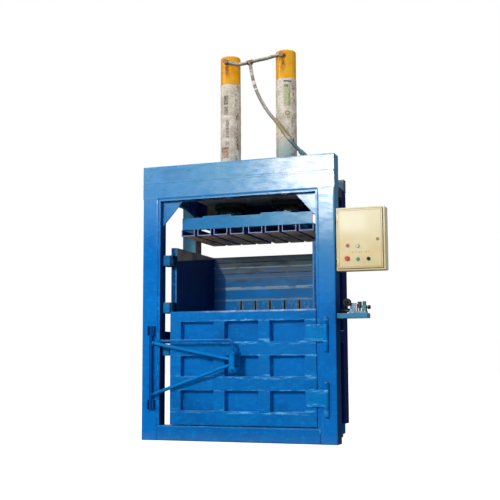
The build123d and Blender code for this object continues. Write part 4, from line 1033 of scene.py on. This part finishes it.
wraps = [paper_sleeve("paper_wrap_left", -cylinder_x, 3),
         paper_sleeve("paper_wrap_right", cylinder_x, 11)]
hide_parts("cylinder_wraps")
print("two sleeves of", len(wraps[0].data.polygons), "faces")

# %% [markdown]
# ## Woven sleeve on the hoses
#
# The hoses wear a spiral fabric sleeve against rubbing, grey beige with dust, and tape at a few
# places. The weave is too fine to model at this size, so it is bump in the finish, and the tapes
# are real bands that follow the hose's own line.


# %% Sleeve finish
def woven_sleeve():
    """Dusty spiral weave, with painted shade on its downward faces."""
    f = Finish("woven_sleeve")
    weave = f.cells(170, (1, 1, 0.8))
    cloud = f.noise(14, 4)
    f.colour = f.mix((0.42, 0.39, 0.32), (0.74, 0.72, 0.64), cloud.fade(0.35, 0.65))
    f.lay((0.12, 0.1, 0.08), weave.fade(0.4, 0.7) * 0.75)
    # Painted shade on the downward faces of the hoses.
    f.lay((0.08, 0.05, 0.015), f.up.fade(0.15, -0.45) * 0.75)
    f.lay((0.2, 0.17, 0.15), f.height.between(2.93, 3.12, 0.02) * 0.6)
    f.lay((0.004, 0.045, 0.065), f.height.fade(2.55, 2.47) * 0.9)
    f.lay((0.3, 0.23, 0.06), f.height.between(2.55, 2.72, 0.03) * 0.75)
    f.finish(roughness=0.6 + cloud * 0.2, normal=f.bump(weave, 0.6, 0.0015))


woven_sleeve()
plastic("pale_tape", (0.8, 0.79, 0.75), 0.45)
for hose in hoses.values():
    hose.data.materials.append(finishes["woven_sleeve"])

# %% Tape bands
tape_sides = 24
tape_depth = 0.001
tape_height = 0.0018


def tape_band(name, line, start, length):
    """A thin band round the part of a hose's line from a distance along it."""
    places, gone = [], 0.0
    for here, there in zip(line, line[1:]):
        if start <= gone <= start + length:
            places.append((here, there - here))
        gone += (there - here).length
    mesh = bmesh.new()
    rings = []
    for i, (centre, heading) in enumerate(places):
        turn = heading.to_track_quat("Z", "Y")
        rise = 0.4 if i in (0, len(places) - 1) else 1.0
        radius = hose_diameter / 2 - tape_depth + (tape_height + tape_depth) * rise
        rings.append([mesh.verts.new(centre + turn @ point)
                      for point in circle(tape_sides, radius)])
    close_tube(mesh, rings)
    close_piece(mesh, name, "pale_tape")


for i, (start, length) in enumerate(((0.075, 0.03), (0.155, 0.04), (0.225, 0.025))):
    tape_band(f"hose_tape_{i + 1}", hose_lines["hose_branch"], start, length)
print("three tapes")

# %% [markdown]
# ## The gauge's dial
#
# The gauge's case is open at the front. A dark dial with plain pale ticks lies in it, under a
# short black needle. Ticks are drawn by the finish from the angle round the dial's centre.

# %% Dial
gauge_x, gauge_z = 0.911, 1.090


def dial_finish():
    """A dark dial with pale ticks round its edge."""
    f = Finish("gauge_dial_finish")
    dx, dz = f.across - gauge_x, f.height - gauge_z
    reach = (dx * dx + dz * dz) ** 0.5
    tick = (dz.bearing(dx) * 30).sine().fade(0.55, 0.8) * reach.between(0.019, 0.023, 0.0003)
    f.colour = f.mix((0.006, 0.008, 0.01), (0.018, 0.02, 0.022), f.noise(120))
    f.lay((0.22, 0.23, 0.22), tick * dz.fade(-0.017, -0.014))
    f.finish(roughness=0.5 + tick * 0.2, specular_ior_level=0.03)


# %% Dial and needle as discs
def disc(name, finish, y, radius, thickness, sides=40, dome=0.0):
    """A flat or slightly domed disc on the gauge's axis, facing the front."""
    mesh = bmesh.new()
    back, front = ([mesh.verts.new((gauge_x + point.x, place, gauge_z + point.y))
                    for point in circle(sides, radius)] for place in (y, y - thickness))
    middle = mesh.verts.new((gauge_x, y - thickness - dome, gauge_z))
    mesh.faces.new(back[::-1])
    bridge(mesh, back, front)
    for here, there in zip(front, turned_on(front)):
        mesh.faces.new((here, there, middle))
    bmesh.ops.recalc_face_normals(mesh, faces=mesh.faces)
    close_piece(mesh, name, finish, smooth=False)


dial_finish()
disc("gauge_dial", "gauge_dial_finish", 0.0247, 0.0255, 0.0004)
disc("gauge_needle", "black_plastic", 0.0242, 0.0035, 0.0012, 12, 0.0003)
print("the gauge has a dial")

# %% [markdown]
# ## Rounding the sharp edges
#
# Rolled steel has no knife edges, and a rounded edge is what catches the light. A Weld modifier
# first joins the doubled points of the imported mesh, then a Bevel modifier rounds every edge
# sharper than thirty five degrees. Both are modifiers, so the mesh below them stays as it came.

# %% Soft edges
rounded = ("opening_liner", "door_rails", "door_stiles", "door_strap_channels", "hinge_leaves",
           "latch_catch", "latch_keepers", "ram_frame", "ram_planks", "rod_plates",
           "chamber_side_walls", "chamber_wall_back", "wall_ribs", "floor_planks",
           "carrier_plate", "carrier_rails", "valve_shelf", "head_beam_caps")
for name in rounded:
    weld = nodes[name].modifiers.new("join", "WELD")
    weld.merge_threshold = 0.00002
    bevel = nodes[name].modifiers.new("round", "BEVEL")
    bevel.width = 0.0012
    bevel.segments = 2
    bevel.limit_method = "ANGLE"
    bevel.angle_limit = math.radians(35)
print(len(rounded), "nodes with rounded edges")

# %% [markdown]
# ## Floor, light and surroundings
#
# The machine stands in a pale empty studio. The world is white to the camera and in
# reflections, and dimmer as a lamp, so that the faces turned away from the key light stay deep.
# The key light is a broad panel, high up and to the left, as the shadows in the opening show.

# %% Floor
pure_white = (1, 1, 1, 1)
floor_reach = 30
floor_corners = [(x * floor_reach, y * floor_reach, 0)
                 for x, y in ((-1, -1), (1, -1), (1, 1), (-1, 1))]
floor_mesh = bpy.data.meshes.new("studio_floor")
floor_mesh.from_pydata(floor_corners, [], [(0, 1, 2, 3)])
floor = add_object("studio_floor", floor_mesh)


def studio_floor_finish():
    """Matt floor that is nearly white to the camera, and dark in reflections."""
    f = Finish("studio_floor")
    tone = f.mix((0.62, 0.62, 0.62), (0.66, 0.66, 0.66), f.noise(0.7))
    matt = f.node("BsdfDiffuse", None, {"Color": tone})
    white, dark = (f.node("Emission", None, {"Color": pure_white, "Strength": strength})
                   for strength in (1.55, 0.05))
    seen = f.node("LightPath", out="Is Camera Ray")
    mirrored = f.node("LightPath", out="Is Glossy Ray")
    paler = f.node("MixShader", None, {0: seen * 0.68, 1: matt, 2: white})
    both = f.node("MixShader", None, {0: mirrored * 0.9, 1: paler, 2: dark})
    f.node("OutputMaterial", None, {"Surface": both})
    return f.material


floor_mesh.materials.append(studio_floor_finish())


# %% World
def studio_world():
    """White to the camera, a dim lamp, and a soft sky in reflections."""
    world = bpy.data.worlds.new("studio")
    maker = NodeMaker(world)
    seen, through, mirrored = (maker.node("LightPath", out=f"Is {kind} Ray")
                               for kind in ("Camera", "Transmission", "Glossy"))
    side, back, rise = maker.axes(maker.node("TexCoord", out="Generated"))
    open_front = back.fade(0.3, -0.2, 0.08) * rise.fade(0.08, 0.26, 0.0, 2.6)
    lit_side = side.fade(0.35, 0.85, 0.14, 0.75)
    sky = (1 - mirrored) * lit_side + mirrored * open_front
    glow = maker.node("Background", None,
                      {"Color": pure_white, "Strength": seen.larger(through).larger(sky)})
    maker.node("OutputWorld", None, {"Surface": glow})
    return world


bpy.context.scene.world = studio_world()
print("floor and world")


# %% Lamps
def panel_light(name, place, target, size, power):
    """A square area lamp that looks at a target."""
    data = bpy.data.lights.new(name, "AREA")
    data.shape = "RECTANGLE"
    data.size = data.size_y = size
    data.energy = power
    lamp = add_object(name, data)
    lamp.location = place
    lamp.rotation_euler = (Vector(target) - Vector(place)).to_track_quat("-Z", "Y").to_euler()


panel_light("key", (-0.95, -6.6, 3.15), (0, 0.2, 1.6), 1.2, 280)
panel_light("side", (-5.5, -2.5, 4.5), (0, 0.3, 1.5), 2.0, 90)
panel_light("top", (0.4, 0.4, 6.5), (0, 0.4, 1.5), 2.5, 70)
bpy.context.scene.view_settings.view_transform = "Standard"
print("three lamps")
